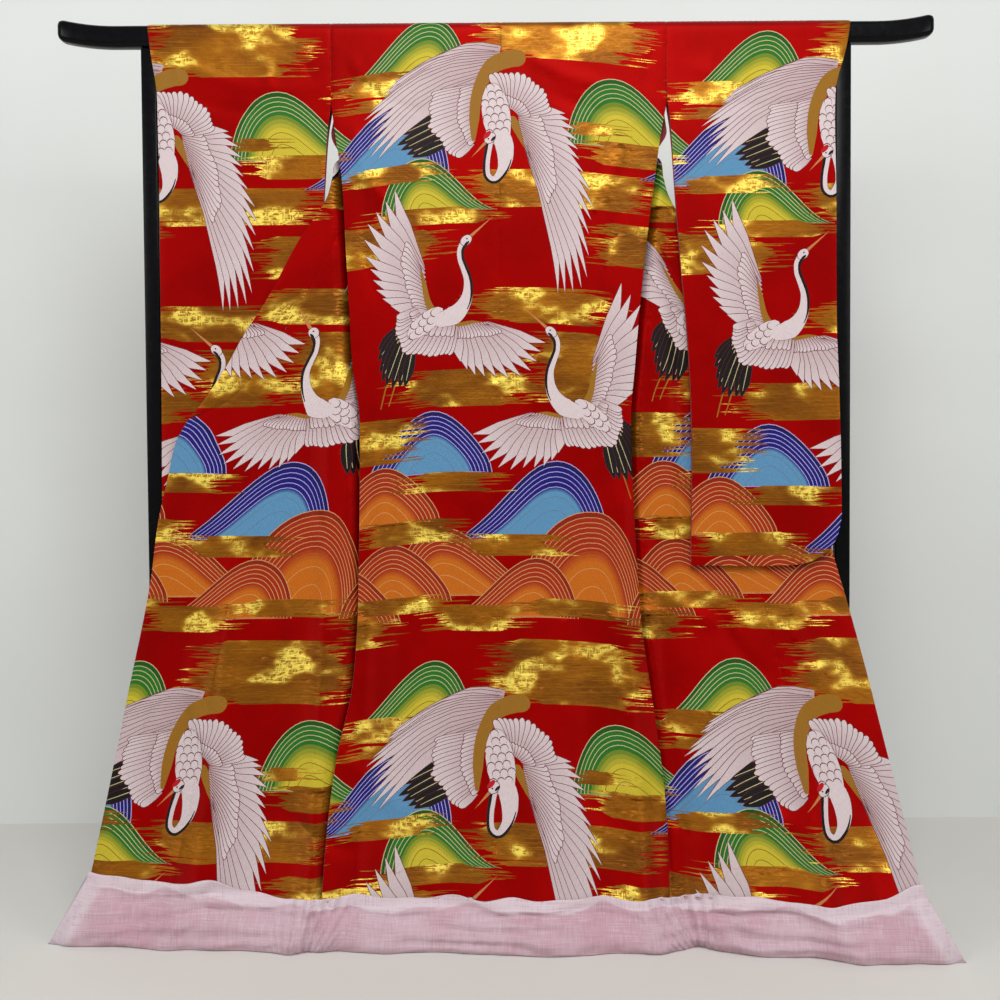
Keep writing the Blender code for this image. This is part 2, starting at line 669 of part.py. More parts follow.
def make_stand():
    make_bar()
    for side, tag in ((LEFT, "left"), (RIGHT, "right")):
        inner, outer = sorted((side * POST_OUTER, side * (POST_OUTER - POST_WIDTH)))
        post_top = BAR_TOP - 2 * BAR_HALF_HEIGHT - JOINT_GAP
        make_block(
            f"upright_{tag}",
            (inner, -POST_DEPTH / 2, FOOT_HEIGHT + JOINT_GAP),
            (outer, POST_DEPTH / 2, post_top),
            0.003,
        )
        make_foot(f"foot_{tag}", (inner + outer) / 2)
    rail_end = POST_OUTER - POST_WIDTH - JOINT_GAP
    make_block(
        "lower_rail",
        (-rail_end, -0.010, RAIL_BOTTOM),
        (rail_end, 0.010, RAIL_BOTTOM + RAIL_HEIGHT),
        0.003,
    )


def make_foot(name, middle):
    """A sled foot: flat below, with its back falling in a curve from the post to both tips."""
    sections = []
    for i in range(13):
        y = FOOT_REACH * (i / 6.0 - 1.0)
        away = max(0.0, abs(y) - 0.030) / (FOOT_REACH - 0.030)
        height = FOOT_TIP + (FOOT_HEIGHT - FOOT_TIP) * (1.0 - smooth(away))
        half = FOOT_WIDTH / 2 * (1.0 - 0.18 * away)
        top = half - 0.006
        ring = [
            (middle - half, y, 0.0),
            (middle + half, y, 0.0),
            (middle + half, y, height - 0.008),
            (middle + top, y, height),
            (middle - top, y, height),
            (middle - half, y, height - 0.008),
        ]
        sections.append(ring)
    return make_loft(name, sections[::-1], "black_lacquer")


def centre_on_floor():
    """Moves the whole part so that the origin is under the middle of its footprint."""
    bpy.context.view_layer.update()
    graph = bpy.context.evaluated_depsgraph_get()
    depths = []
    for obj in bpy.context.scene.objects:
        solid = obj.evaluated_get(graph)
        depths += [corner[1] for corner in solid.bound_box]
    shift = -(min(depths) + max(depths)) / 2
    for obj in bpy.context.scene.objects:
        obj.location.y = shift


def main():
    for obj in list(bpy.data.objects):
        bpy.data.objects.remove(obj, do_unlink=True)
    make_stand()
    for side in (LEFT, RIGHT):
        make_back(side)
        make_front_pieces(side)
        make_sleeve(side)
    make_neck_collar()
    make_hem_band()
    centre_on_floor()


main()
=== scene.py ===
"""Dresses the uchikake on its stand: crane brocade, lining, gauze hem cover and lacquer.

Metres, +Z up. -Y is the side that shows the garment's back. Each panel is a thin shell on the same
hanging form as its solid. Its outer face is cut along the outlines of the woven pattern, so that a
crane's feather or a hill's contour is an edge of the mesh.
"""

import logging
import math
import random
from collections.abc import Callable, Sequence
from dataclasses import dataclass, field, replace
from enum import Enum
from typing import NamedTuple

import bpy
import numpy as np
from mathutils import Matrix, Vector
from mathutils.geometry import delaunay_2d_cdt

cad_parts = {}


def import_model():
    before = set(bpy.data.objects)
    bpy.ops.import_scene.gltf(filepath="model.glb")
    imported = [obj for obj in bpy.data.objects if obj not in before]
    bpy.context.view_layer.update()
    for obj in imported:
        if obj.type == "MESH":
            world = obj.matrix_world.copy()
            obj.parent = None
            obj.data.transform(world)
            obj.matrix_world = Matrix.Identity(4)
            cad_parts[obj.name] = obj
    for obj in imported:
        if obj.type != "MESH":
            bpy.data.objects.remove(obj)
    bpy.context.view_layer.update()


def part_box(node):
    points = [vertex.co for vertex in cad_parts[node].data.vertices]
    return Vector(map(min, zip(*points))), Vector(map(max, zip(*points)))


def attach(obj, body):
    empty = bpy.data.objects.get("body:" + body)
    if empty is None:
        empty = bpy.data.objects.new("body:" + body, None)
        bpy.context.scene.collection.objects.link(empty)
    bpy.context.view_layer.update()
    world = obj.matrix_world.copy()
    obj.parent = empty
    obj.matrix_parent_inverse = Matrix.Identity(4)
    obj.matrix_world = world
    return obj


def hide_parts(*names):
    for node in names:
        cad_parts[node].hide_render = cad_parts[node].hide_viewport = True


log = logging.getLogger("uchikake")


# ---------------------------------------------------------------- the woven pattern

DRAFT_UNIT = (0.001895, 0.00185)  # metres to one square of the pattern's draft, across and up
REPEAT_WIDE = 334.0     # draft squares from one repeat to the next along the bar
REPEAT_TALL = 650.0     # and down the cloth
DRAFT_ORIGIN = (0.0, 1.533)  # metres: X and height of the diving crane's shoulders

Point = tuple[float, float]
Colour = tuple[float, float, float]


def linear(code: str) -> Colour:
    """Turns an sRGB hex code into linear numbers.

    Args:
        code: Six hex digits, with or without a hash.

    Returns:
        Red, green and blue from 0 to 1, linear.
    """
    digits = code.lstrip("#")
    values = [int(digits[i : i + 2], 16) / 255.0 for i in (0, 2, 4)]
    shown = [v / 12.92 if v <= 0.04045 else ((v + 0.055) / 1.055) ** 2.4 for v in values]
    return shown[0], shown[1], shown[2]


class Yarn(Enum):
    """What a place on the outer face is woven in."""

    SATIN = 0
    FOIL = 1
    FLOSS = 2


class Dye(Enum):
    """The colours of the floss, as sRGB."""

    FEATHER_TIP = "cdbdbe"
    FEATHER_ROOT = "b19899"
    FEATHER_LINE = "5c1822"
    BLACK = "0c0405"
    OCHRE = "8f6114"
    CROWN = "b00810"
    BEAK = "b57444"
    EYE = "20100f"
    PALE_LINE = "b9ae80"
    BROWN_LINE = "6e4f0c"
    LEAF = "22661a"
    LEAF_DEEP = "144c0e"
    LEMON = "bdab2c"
    NAVY = "150a66"
    NAVY_DEEP = "0e064c"
    LILAC_LINE = "a29ed0"
    SKY = "5686aa"
    GREY_LINE = "5c7084"
    EMBER = "962200"
    EMBER_DEEP = "801600"
    MARIGOLD = "b85e06"
    ROSE_LINE = "c48c54"


@dataclass(frozen=True)
class Shape:
    """One filled outline of the pattern's draft, in draft squares.

    A later shape covers an earlier one. Its colour runs from one dye to another between two places,
    or lies at a share of the way between them.
    """

    yarn: Yarn
    outline: np.ndarray
    near: Dye | None = None
    far: Dye | None = None
    span: np.ndarray | None = None
    blend: float = 0.0


def dyed(outline: np.ndarray, dye: Dye) -> Shape:
    """An outline filled with floss of one dye."""
    return Shape(Yarn.FLOSS, outline, dye, dye)


def curve(points: Sequence[Point], steps: int) -> np.ndarray:
    """A smooth curve through points.

    Args:
        points: The places it passes, in order.
        steps: How many pieces each stretch is cut into.

    Returns:
        The places along it, one row each.
    """
    held = np.array([points[0], *points, points[-1]], float)
    rows = []
    for a, b, c, d in zip(held, held[1:], held[2:], held[3:]):
        for k in range(steps):
            t = k / steps
            rows.append(
                0.5
                * (
                    2 * b
                    + (c - a) * t
                    + (2 * a - 5 * b + 4 * c - d) * t * t
                    + (3 * b - a - 3 * c + d) * t**3
                )
            )
    rows.append(held[-1])
    return np.array(rows)


def ribbon(points: Sequence[Point], widths: Sequence[float], steps: int = 4) -> np.ndarray:
    """The outline of a band that follows a curve and changes width along it."""
    line = curve(points, steps)
    along = np.linspace(0.0, 1.0, len(line))
    half = np.interp(along, np.linspace(0.0, 1.0, len(widths)), widths) / 2.0
    way = np.gradient(line, axis=0)
    way /= np.maximum(np.linalg.norm(way, axis=1), 1e-9)[:, None]
    across = np.stack([-way[:, 1], way[:, 0]], 1) * half[:, None]
    return np.concatenate([line + across, (line - across)[::-1]])


def oval(
    middle: Point, wide: float, tall: float, turn: float = 0.0, steps: int = 14
) -> np.ndarray:
    """The outline of an oval, given its half sizes and its turn in degrees."""
    angle = np.linspace(0.0, 2 * math.pi, steps, endpoint=False)
    c, s = math.cos(math.radians(turn)), math.sin(math.radians(turn))
    x, y = wide * np.cos(angle), tall * np.sin(angle)
    return np.stack([middle[0] + c * x - s * y, middle[1] + s * x + c * y], 1)


@dataclass(frozen=True)
class Fan:
    """A row of overlapping feathers.

    Attributes:
        roots: The line that the feathers grow from.
        angles: Their directions in degrees, at even steps along that line.
        lengths: Their lengths, at even steps along that line.
        count: How many there are.
        width: A feather's full width.
        pointed: Whether the tips are pointed, as on the long flight feathers.
        bend: How far a tip is carried aside, as a share of the length.
        dark: Whether these are the black tail feathers.
    """

    roots: Sequence[Point]
    angles: Sequence[float]
    lengths: Sequence[float]
    count: int
    width: float
    pointed: bool = False
    bend: float = 0.0
    dark: bool = False

    def shapes(self) -> list[Shape]:
        """Draws each feather as a line colour with the feather's own colour inside it."""
        line = curve(self.roots, 6)
        found = []
        for k in range(self.count):
            share = k / max(1, self.count - 1)
            at = share * (len(line) - 1)
            low = min(int(at), len(line) - 2)
            root = line[low] + (line[low + 1] - line[low]) * (at - low)
            keys = np.linspace(0.0, 1.0, len(self.angles))
            angle = math.radians(float(np.interp(share, keys, self.angles)))
            keys = np.linspace(0.0, 1.0, len(self.lengths))
            length = float(np.interp(share, keys, self.lengths))
            length *= 1.0 + 0.035 * math.sin(5.0 * k)
            found += self.feather(root, angle, length)
        return found

    def feather(self, root: np.ndarray, angle: float, length: float) -> list[Shape]:
        """One feather, from its root."""
        if self.pointed:
            places = (0.0, 0.30, 0.55, 0.68, 0.79, 0.91)
            halves = (0.40, 0.50, 0.50, 0.38, 0.27, 0.13)
        else:
            places, halves = (0.0, 0.40, 0.78, 0.92, 0.98), (0.36, 0.48, 0.50, 0.40, 0.22)
        along = np.array([math.cos(angle), math.sin(angle)])
        across = np.array([-along[1], along[0]])

        def outline(wider: float) -> np.ndarray:
            tall = length + wider
            left, right = [], []
            for place, half in zip(places, halves):
                spine = root + along * tall * place + across * self.bend * tall * place**2
                side = across * (half * self.width + wider)
                left.append(spine + side)
                right.append(spine - side)
            tip = root + along * tall + across * self.bend * tall
            return np.array([*left, tip, *right[::-1]])

        tip = root + along * length + across * self.bend * length
        span = np.array([root, tip])
        if self.dark:
            vein = ribbon([tuple(root), tuple(root + 0.8 * (tip - root))], [0.9, 0.5], 1)
            return [
                dyed(outline(0.35), Dye.FEATHER_LINE),
                dyed(outline(0.0), Dye.BLACK),
                dyed(vein, Dye.PALE_LINE),
            ]
        return [
            dyed(outline(0.28), Dye.FEATHER_LINE),
            Shape(Yarn.FLOSS, outline(-0.24), Dye.FEATHER_ROOT, Dye.FEATHER_TIP, span),
        ]


@dataclass(frozen=True)
class Crane:
    """A crane of the repeat: rows of feathers, a neck with its stripe, a head and its legs."""

    behind: Sequence[Fan]
    before: Sequence[Fan]
    shoulder_bands: Sequence[tuple[Sequence[Point], Sequence[float]]]
    scales: tuple[Point, float, float, float]
    neck: Sequence[Point]
    neck_widths: Sequence[float]
    stripe_side: float
    beak: Point
    legs: Sequence[Sequence[Point]] = ()
    crowned: bool = True

    def shapes(self) -> list[Shape]:
        """Draws the crane from the back forward."""
        found = []
        for leg in self.legs:
            found.append(Shape(Yarn.FLOSS, ribbon(leg, [1.5, 1.0], 3), Dye.OCHRE, Dye.BEAK))
        for fan in self.behind:
            found += fan.shapes()
        for line, widths in self.shoulder_bands:
            found.append(dyed(ribbon(line, widths), Dye.OCHRE))
            found.append(dyed(oval(line[0], widths[0] / 2, widths[0] / 2), Dye.OCHRE))
        for fan in self.before:
            found += fan.shapes()
        found += self.breast()
        found += self.neck_and_head()
        return found

    def breast(self) -> list[Shape]:
        """Small round feathers in staggered rows over the body."""
        middle, wide, tall, turn = self.scales
        body = oval(middle, wide, tall, turn)
        found = [
            dyed(oval(middle, wide + 0.4, tall + 0.4, turn), Dye.FEATHER_LINE),
            dyed(body, Dye.FEATHER_TIP),
        ]
        way = math.radians(turn)
        along = np.array([math.cos(way), math.sin(way)])
        across = np.array([-along[1], along[0]])
        step = 7.6
        rows = max(2, int(2 * wide / step))
        for row in range(rows):
            reach = -wide + step * (row + 0.6)
            held = math.sqrt(max(0.0, 1.0 - (reach / wide) ** 2)) * tall
            count = max(1, int(2 * held / step))
            for k in range(count):
                aside = (k - (count - 1) / 2.0) * step + (step / 4 if row % 2 else -step / 4)
                if abs(aside) > held - 1.5:
                    continue
                spot = np.array(middle) + along * reach + across * aside
                place = (float(spot[0]), float(spot[1]))
                found.append(dyed(oval(place, 4.4, 4.2, turn, 8), Dye.FEATHER_LINE))
                shifted = (place[0] + 0.5 * along[0], place[1] + 0.5 * along[1])
                found.append(dyed(oval(shifted, 3.9, 3.8, turn, 8), Dye.FEATHER_TIP))
        return found

    def neck_and_head(self) -> list[Shape]:
        """The neck with its dark stripe, then the head, crown, cheek, eye and beak."""
        edge = [w + 0.7 for w in self.neck_widths]
        found = [
            dyed(ribbon(self.neck, edge), Dye.FEATHER_LINE),
            dyed(ribbon(self.neck, self.neck_widths), Dye.FEATHER_TIP),
            dyed(oval(self.neck[0], edge[0] / 2 - 0.6, edge[0] / 2 - 0.6), Dye.FEATHER_TIP),
        ]
        line = curve(self.neck, 4)
        way = np.gradient(line, axis=0)
        way /= np.maximum(np.linalg.norm(way, axis=1), 1e-9)[:, None]
        along = np.linspace(0.0, 1.0, len(line))
        stations = np.linspace(0.0, 1.0, len(self.neck_widths))
        half = np.interp(along, stations, self.neck_widths) / 2.0
        stripe = (
            line + np.stack([-way[:, 1], way[:, 0]], 1) * (half * 0.80 * self.stripe_side)[:, None]
        )
        kept = stripe[len(stripe) // 4 :]
        places = [(float(p[0]), float(p[1])) for p in kept]
        widths = [0.8, 2.6, 2.8, 2.6, 3.4]
        found.append(dyed(ribbon(places, widths, 1), Dye.BLACK))
        end, before = line[-1], line[-3]
        facing = math.atan2(self.beak[1] - end[1], self.beak[0] - end[0])
        ahead = np.array([math.cos(facing), math.sin(facing)])
        above = np.array([-ahead[1], ahead[0]]) * -self.stripe_side
        head = (float(end[0] + 1.5 * ahead[0]), float(end[1] + 1.5 * ahead[1]))
        turn = math.degrees(facing)
        tip = np.array(self.beak)
        root = np.array(head) + ahead * 4.0
        beak = np.array([root + above * 1.7, tip, root - above * 1.5])
        crown = np.array(head) + above * 4.2 - ahead * 0.4
        cheek = np.array(head) - above * 2.8 - ahead * 1.8
        eye = np.array(head) + above * 0.6 + ahead * 1.6
        found += [
            dyed(beak, Dye.BEAK),
            dyed(oval(head, 6.8, 5.2, turn), Dye.FEATHER_LINE),
            dyed(oval(head, 6.2, 4.5, turn), Dye.FEATHER_TIP),
            dyed(oval(tuple(cheek), 3.4, 1.3, turn), Dye.BLACK),
            dyed(oval(tuple(eye), 0.9, 0.9, 0.0, 6), Dye.EYE),
        ]
        if self.crowned:
            found.append(dyed(oval(tuple(crown), 5.2, 2.4, turn), Dye.CROWN))
        return found


DIVING = Crane(
    behind=(
        Fan(
            ((-58, -4), (-60, -22), (-56, -42)),
            (196, 203, 200),
            (36, 44, 34),
            7,
            11.0,
            True,
            dark=True,
        ),
        Fan(((1, 51), (-6, 44), (-12, 35)), (168, 172, 178), (62, 90, 106), 6, 12.0, True, 0.32),
        Fan(
            ((0, 45), (-11, 35), (-20, 19)), (176, 185, 197), (108, 128, 118), 11, 12.0, True, 0.32
        ),
        Fan(
            ((-22, 16), (-28, -10), (-27, -42)), (196, 204, 226), (46, 44, 22), 17, 7.4, bend=-0.10
        ),
        Fan(((-20, 16), (-26, -10), (-25, -38)), (196, 204, 222), (20, 18, 8), 15, 5.0),
    ),
    shoulder_bands=(
        (
            ((18, 43), (8, 42), (-7, 35), (-17, 20), (-23, 2), (-25, -18), (-26, -40)),
            (17, 18, 16, 13, 11, 10, 3),
        ),
        (((13, -19), (18, -28), (24, -40), (29, -52)), (8, 9, 7, 2)),
    ),
    before=(
        Fan(
            ((30, -50), (24, -28), (18, -12)),
            (-68, -64, -59, -54, -47, -40, -33, -25, -17, -8, 4, 12),
            (143, 155, 147, 138, 120, 105, 90, 74, 65, 58, 52, 48),
            17,
            11.5,
            True,
            -0.20,
        ),
        Fan(
            ((30, -50), (25, -28), (18, -12)),
            (-64, -50, -36, -16, 8),
            (56, 50, 38, 26, 20),
            17,
            6.2,
            bend=-0.12,
        ),
        Fan(((19, -13), (12, -8), (4, -2)), (4, 54, 108), (33, 37, 31), 15, 7.6, bend=0.10),
        Fan(((20, -14), (13, -9), (6, -4)), (0, 54, 108), (11, 12, 10), 11, 4.6),
    ),
    scales=((-3.0, -14.0), 33.0, 14.0, -82.0),
    neck=(
        (3, -38), (5, -46), (5.5, -58), (2.5, -70), (-5, -79), (-12, -75), (-13, -63), (-11, -49),
        (-8.5, -36),
    ),
    neck_widths=(18, 18, 15, 10, 7, 6.5, 6, 6, 6.5),
    stripe_side=1.0,
    beak=(-28.5, -57),
)

RISING = Crane(
    legs=(
        ((-14, -30), (-20, -50), (-27, -72)),
        ((-24, -34), (-30, -54), (-35, -74)),
    ),
    behind=(
        Fan(
            ((-18, 4), (-16, -8), (-4, -22)),
            (222, 245, 251, 258),
            (26, 42, 43, 33),
            8,
            10.5,
            True,
            dark=True,
        ),
        Fan(
            ((5, 64), (9, 42), (12, 20)),
            (112, 132, 150, 161, 170),
            (86, 84, 72, 56, 38),
            11,
            13.5,
            True,
            -0.10,
        ),
        Fan(
            ((5, 62), (9, 42), (12, 20)), (114, 132, 150, 160, 168), (34, 30, 22, 17, 13), 15, 5.8
        ),
    ),
    shoulder_bands=(
        (((17, 20), (12, 32), (9, 48), (6, 62)), (8, 6, 4.5, 1.5)),
        (((27, 5), (42, 4.5), (56, 7), (70, 6)), (4, 5.5, 5, 2)),
    ),
    before=(
        Fan(
            ((70, 4), (56, 5), (40, 3)),
            (-22, -44, -62, -78, -88),
            (62, 69, 66, 54, 36),
            11,
            12.5,
            True,
            0.10,
        ),
        Fan(((70, 4), (56, 5), (40, 3)), (-24, -44, -62, -78, -88), (17, 15, 14, 13, 12), 14, 5.2),
        Fan(((40, 4), (12, 8), (2, 24)), (262, 235, 204), (30, 36, 22), 18, 7.4, bend=-0.08),
        Fan(((38, 6), (14, 10), (4, 22)), (258, 232, 200), (13, 15, 10), 13, 5.2),
    ),
    scales=((10.0, 9.0), 22.0, 9.5, 38.0),
    neck=(
        (26, 11), (38, 15), (47, 24), (52, 36), (52.5, 50), (49, 62), (45.5, 72), (45.5, 82),
        (50, 90),
    ),
    neck_widths=(15, 19, 14, 10, 7.5, 6.5, 6, 6, 7),
    stripe_side=-1.0,
    crowned=False,
    beak=(78, 115),
)


@dataclass(frozen=True)
class Hill:
    """A mound with nested contour lines. One side is round and the other may run out in a tail.

    Attributes:
        peak: The top, in draft squares from the repeat's origin.
        base: The level of its foot.
        left: Where it ends on the left.
        right: Where it ends on the right.
        palette: Its dyes: edge, edge's deep shade, core, outer lines and inner lines.
        rings: How many outer contour lines it has.
        soft: How wide each step of the change from edge to core is.
        spacing: How far apart the contour lines lie at the top.
    """

    peak: Point
    base: float
    left: float
    right: float
    palette: tuple[Dye, Dye, Dye, Dye, Dye]
    rings: int = 4
    soft: float = 0.06
    spacing: float = 4.4

    def outline(self, share: float, wider: float = 0.0) -> np.ndarray:
        """The mound drawn at a share of its size, about a point low under its top."""
        tall = self.peak[1] - self.base
        lean = 0.10 * (self.left + self.right - 2 * self.peak[0])
        middle = np.array([self.peak[0] + lean, self.base - 0.03 * tall])
        sides = []
        for end in (self.left, self.right):
            run = end - self.peak[0]
            tail = min(max((abs(run) / tall - 0.75) / 0.60, 0.0), 1.0)
            even, eased = np.linspace(0.0, 1.0, 13)[1:], np.sin(
                np.linspace(0.0, math.pi / 2, 13)
            )[1:]
            u = even * tail + eased * (1.0 - tail)
            drawn_out = 0.85 * (0.5 + 0.5 * np.cos(math.pi * u**0.96)) + 0.15 * (1.0 - u**2) ** 1.5
            v = drawn_out * tail + np.maximum(1.0 - u**2.2, 0.0) ** 0.60 * (1.0 - tail)
            slower = 1.0 - 0.28 * tail
            points = np.stack([self.peak[0] + run * u, self.base + tall * v], 1)
            drawn = middle + (points - middle) * np.array([share**slower, share])
            sides.append(drawn[::-1] if end == self.left else drawn)
        top = middle + (np.array(self.peak) - middle) * share
        drawn = np.concatenate([sides[0], [top], sides[1]])
        if wider:
            away = drawn - middle
            drawn += away / np.maximum(np.linalg.norm(away, axis=1), 1e-9)[:, None] * wider
        drawn[:, 1] = np.maximum(drawn[:, 1], self.base + 2.6 * (1.0 - share) - 0.2 * wider)
        return drawn

    def shapes(self) -> list[Shape]:
        """Draws the mound from its edge inwards."""
        edge, deep, core, line, inner = self.palette
        found = [dyed(self.outline(1.0, 0.8), line)]
        found.append(dyed(self.outline(1.0), deep))
        share = 1.0
        for ring in range(self.rings):
            share -= self.spacing / (self.peak[1] - self.base)
            found.append(dyed(self.outline(share, 0.38), line))
            found.append(dyed(self.outline(share, -0.38), edge))
        for k in range(1, 5):
            share -= self.soft
            found.append(Shape(Yarn.FLOSS, self.outline(share), edge, core, blend=k / 4))
        for place in (share - 0.07, share - 0.24):
            if place > 0.1:
                found.append(dyed(self.outline(place, 0.3), inner))
                found.append(dyed(self.outline(place, -0.3), core))
        return found


GREEN = (Dye.LEAF, Dye.LEAF_DEEP, Dye.LEMON, Dye.PALE_LINE, Dye.BROWN_LINE)
BLUE = (Dye.NAVY, Dye.NAVY_DEEP, Dye.SKY, Dye.LILAC_LINE, Dye.GREY_LINE)
ORANGE = (Dye.EMBER, Dye.EMBER_DEEP, Dye.MARIGOLD, Dye.ROSE_LINE, Dye.ROSE_LINE)


@dataclass(frozen=True)
class Mist:
    """A drift of foil laid with a dry brush: whole in the middle, and ragged at both ends."""

    left: float
    right: float
    low: float
    high: float

    def shapes(self) -> list[Shape]:
        """Draws the strokes from the same seed each time."""
        toss = random.Random(int(abs(self.left * 7 + self.high * 13)) + 5)
        found = []
        tall, wide = self.high - self.low, self.right - self.left
        count = max(3, round(tall / 4.2))
        reach = min(0.34 * wide, 44.0)
        beat, turn = toss.uniform(0.5, 1.1), toss.uniform(0.0, 6.0)
        for k in range(count):
            level = self.low + tall * (k + 0.5) / count
            thick = tall / count * toss.choice((1.0, 1.2, 1.3, 1.35))
            rim = abs(2.0 * (k + 0.5) / count - 1.0) ** 3
            start = self.left + reach * (
                0.45 * rim + 0.30 + 0.25 * math.sin(beat * k + turn)
            ) * toss.uniform(0.3, 1.0)
            end = self.right - reach * (
                0.45 * rim + 0.30 + 0.25 * math.sin(beat * k)
            ) * toss.uniform(0.3, 1.0)
            found.append(self.stroke(toss, start, end, level, thick))
            for _ in range(5):
                fray = level + toss.uniform(-0.6, 0.6) * tall / count
                slim = toss.uniform(0.4, 1.3)
                out = toss.uniform(4, 30)
                if toss.random() < 0.5:
                    found.append(self.stroke(toss, start - out, start + 12, fray, slim))
                else:
                    found.append(self.stroke(toss, end - 12, end + out, fray, slim))
        return found

    def stroke(
        self, toss: random.Random, start: float, end: float, level: float, thick: float
    ) -> Shape:
        """One stroke with its ends drawn out."""
        run = end - start
        taper = min(0.22 * run, 9.0)
        lift = toss.uniform(-1.0, 1.0)
        top, low = [], []
        for share in (0.0, 0.33, 0.66, 1.0):
            x = start + taper + (run - 2 * taper) * share
            y = level + lift * (share - 0.5)
            top.append((x, y + thick / 2 * toss.uniform(0.8, 1.1)))
            low.append((x, y - thick / 2 * toss.uniform(0.8, 1.1)))
        points = [
            (start, level - lift / 2 + toss.uniform(-0.5, 0.5)),
            *low,
            (end, level + lift / 2),
            *top[::-1],
        ]
        return Shape(Yarn.FOIL, np.array(points))


@dataclass(frozen=True)
class Repeat:
    """The pattern's repeat: hills at the back, mist before their feet, cranes over all."""

    hills: Sequence[Hill] = (
        Hill((-66, 90), 26, -156, -28, GREEN),
        Hill((118, 32), -36, 70, 214, GREEN),
        Hill((-97, 7), -66, -192, -48, BLUE, 5, 0.014),
        Hill((-75, -51), -104, -114, 0, GREEN),
        Hill((-66, -308), -371, -128, -7, BLUE, 5, 0.014),
        Hill((58, -360), -438, -36, 108, BLUE, 5, 0.014, 5.0),
        Hill((-115, -361), -420, -170, -59, ORANGE, 5, 0.03),
        Hill((97, -409), -514, 18, 144, ORANGE, 7, 0.03, 5.0),
        Hill((-60, -426), -496, -104, 54, ORANGE, 5, 0.03),
        Hill((-107, -440), -501, -162, -48, ORANGE, 5, 0.03),
        Hill((36, -459), -518, -54, 77, ORANGE, 5, 0.03),
        Hill((176, -458), -518, 126, 236, ORANGE, 5, 0.03),
    )
    drifts: Sequence[Mist] = (
        Mist(-8, 150, 60, 86),
        Mist(-160, -84, 17, 30),
        Mist(-146, -98, 2, 13),
        Mist(186, 250, 22, 40),
        Mist(70, 118, -26, -14),
        Mist(92, 178, -54, -31),
        Mist(-152, -62, -73, -55),
        Mist(-26, 156, -101, -64),
        Mist(-124, 4, -117, -101),
        Mist(-164, -56, -154, -119),
        Mist(92, 204, -155, -113),
        Mist(-22, 114, -219, -183),
        Mist(38, 116, -299, -228),
        Mist(-94, 36, -303, -266),
        Mist(-150, -84, -347, -312),
        Mist(124, 246, -356, -312),
        Mist(-90, 0, -390, -371),
        Mist(-34, 66, -456, -434),
        Mist(-142, -36, -440, -417),
        Mist(-160, -44, -510, -494),
        Mist(-64, 24, -531, -506),
        Mist(26, 124, -516, -499),
        Mist(132, 226, -541, -512),
        Mist(-6, 146, -602, -540),
    )
    cranes: Sequence[tuple[Crane, Point, bool]] = (
        (RISING, (-82.0, -226.0), False),
        (RISING, (104.0, -319.0), True),
        (DIVING, (3.0, 5.0), False),
    )

    def shapes(self) -> list[Shape]:
        """All the shapes of one repeat, in draft squares, from the back forward."""
        found = []
        for piece in (*self.hills, *self.drifts):
            found += piece.shapes()
        for crane, place, mirrored in self.cranes:
            for shape in crane.shapes():
                found.append(moved(shape, place, mirrored))
        return found


def moved(shape: Shape, place: Point, mirrored: bool) -> Shape:
    """A shape put somewhere else in the draft, turned left for right if asked."""
    way = np.array([-1.0 if mirrored else 1.0, 1.0])
    span = None if shape.span is None else shape.span * way + place
    return replace(shape, outline=shape.outline * way + place, span=span)


# ---------------------------------------------------------------- the hang of the cloth

CLOTH = 0.0024          # padded, lined silk
SEAM = -0.0003          # the seam allowance by which two pieces overlap
HEM_SEAM = 0.0020       # the leaning cloth above the padded hem
BAR_TOP = 1.690
BAR_HALF_HEIGHT = 0.020
BAR_HALF_DEPTH = 0.017
OVER_BAR = 0.0004
BAR_MIDDLE = BAR_TOP - BAR_HALF_HEIGHT
DEPTH_AT_BAR = BAR_HALF_DEPTH + OVER_BAR + CLOTH / 2
RISE_AT_BAR = BAR_HALF_HEIGHT + OVER_BAR + CLOTH / 2
HEM_LEVEL = 0.100
LEAN_POWER = 4
COLLAR_TOP = BAR_TOP - 0.003
COLLAR_WIDTH = 0.070
COLLAR_END = 0.958
COLLAR_EASE = 0.0028
ARMHOLE_FOOT = 1.460
MITRE = 0.0016
LINING_SHOWS = 0.016
CLEAR_OF_SLEEVE = 0.004
SEAM_DEPTH = 0.0031
FOLD_LEAN = 0.28
PASS_WIDTH = 0.020
BEHIND_SLEEVE = 0.0105
NECK_ENDS = (-0.0948, 0.0998)
NECK_TAPER = 0.035


class Side(Enum):
    """A side of the garment as the viewer of its back sees it."""

    LEFT = -1
    RIGHT = 1

    @property
    def tag(self) -> str:
        """The side's word in a node's name."""
        return self.name.lower()


class HemRow(NamedTuple):
    """How far the hem stands before the bar, and the level of its cover's top edge."""

    x: float
    reach: float
    top: float


HEM_LINE = [
    HemRow(-0.822, 0.116, 0.118),
    HemRow(-0.750, 0.124, 0.118),
    HemRow(-0.620, 0.138, 0.102),
    HemRow(-0.540, 0.148, 0.108),
    HemRow(-0.440, 0.156, 0.090),
    HemRow(-0.320, 0.158, 0.081),
    HemRow(-0.175, 0.162, 0.085),
    HemRow(0.000, 0.174, 0.083),
    HemRow(0.150, 0.183, 0.085),
    HemRow(0.250, 0.168, 0.082),
    HemRow(0.316, 0.156, 0.080),
    HemRow(0.373, 0.172, 0.086),
    HemRow(0.470, 0.200, 0.088),
    HemRow(0.575, 0.222, 0.084),
    HemRow(0.660, 0.240, 0.099),
    HemRow(0.731, 0.246, 0.118),
    HemRow(0.800, 0.240, 0.118),
]


class Fold(NamedTuple):
    """A soft upright fold that every layer shares."""

    x_high: float
    x_low: float
    depth: float
    width: float
    start: float


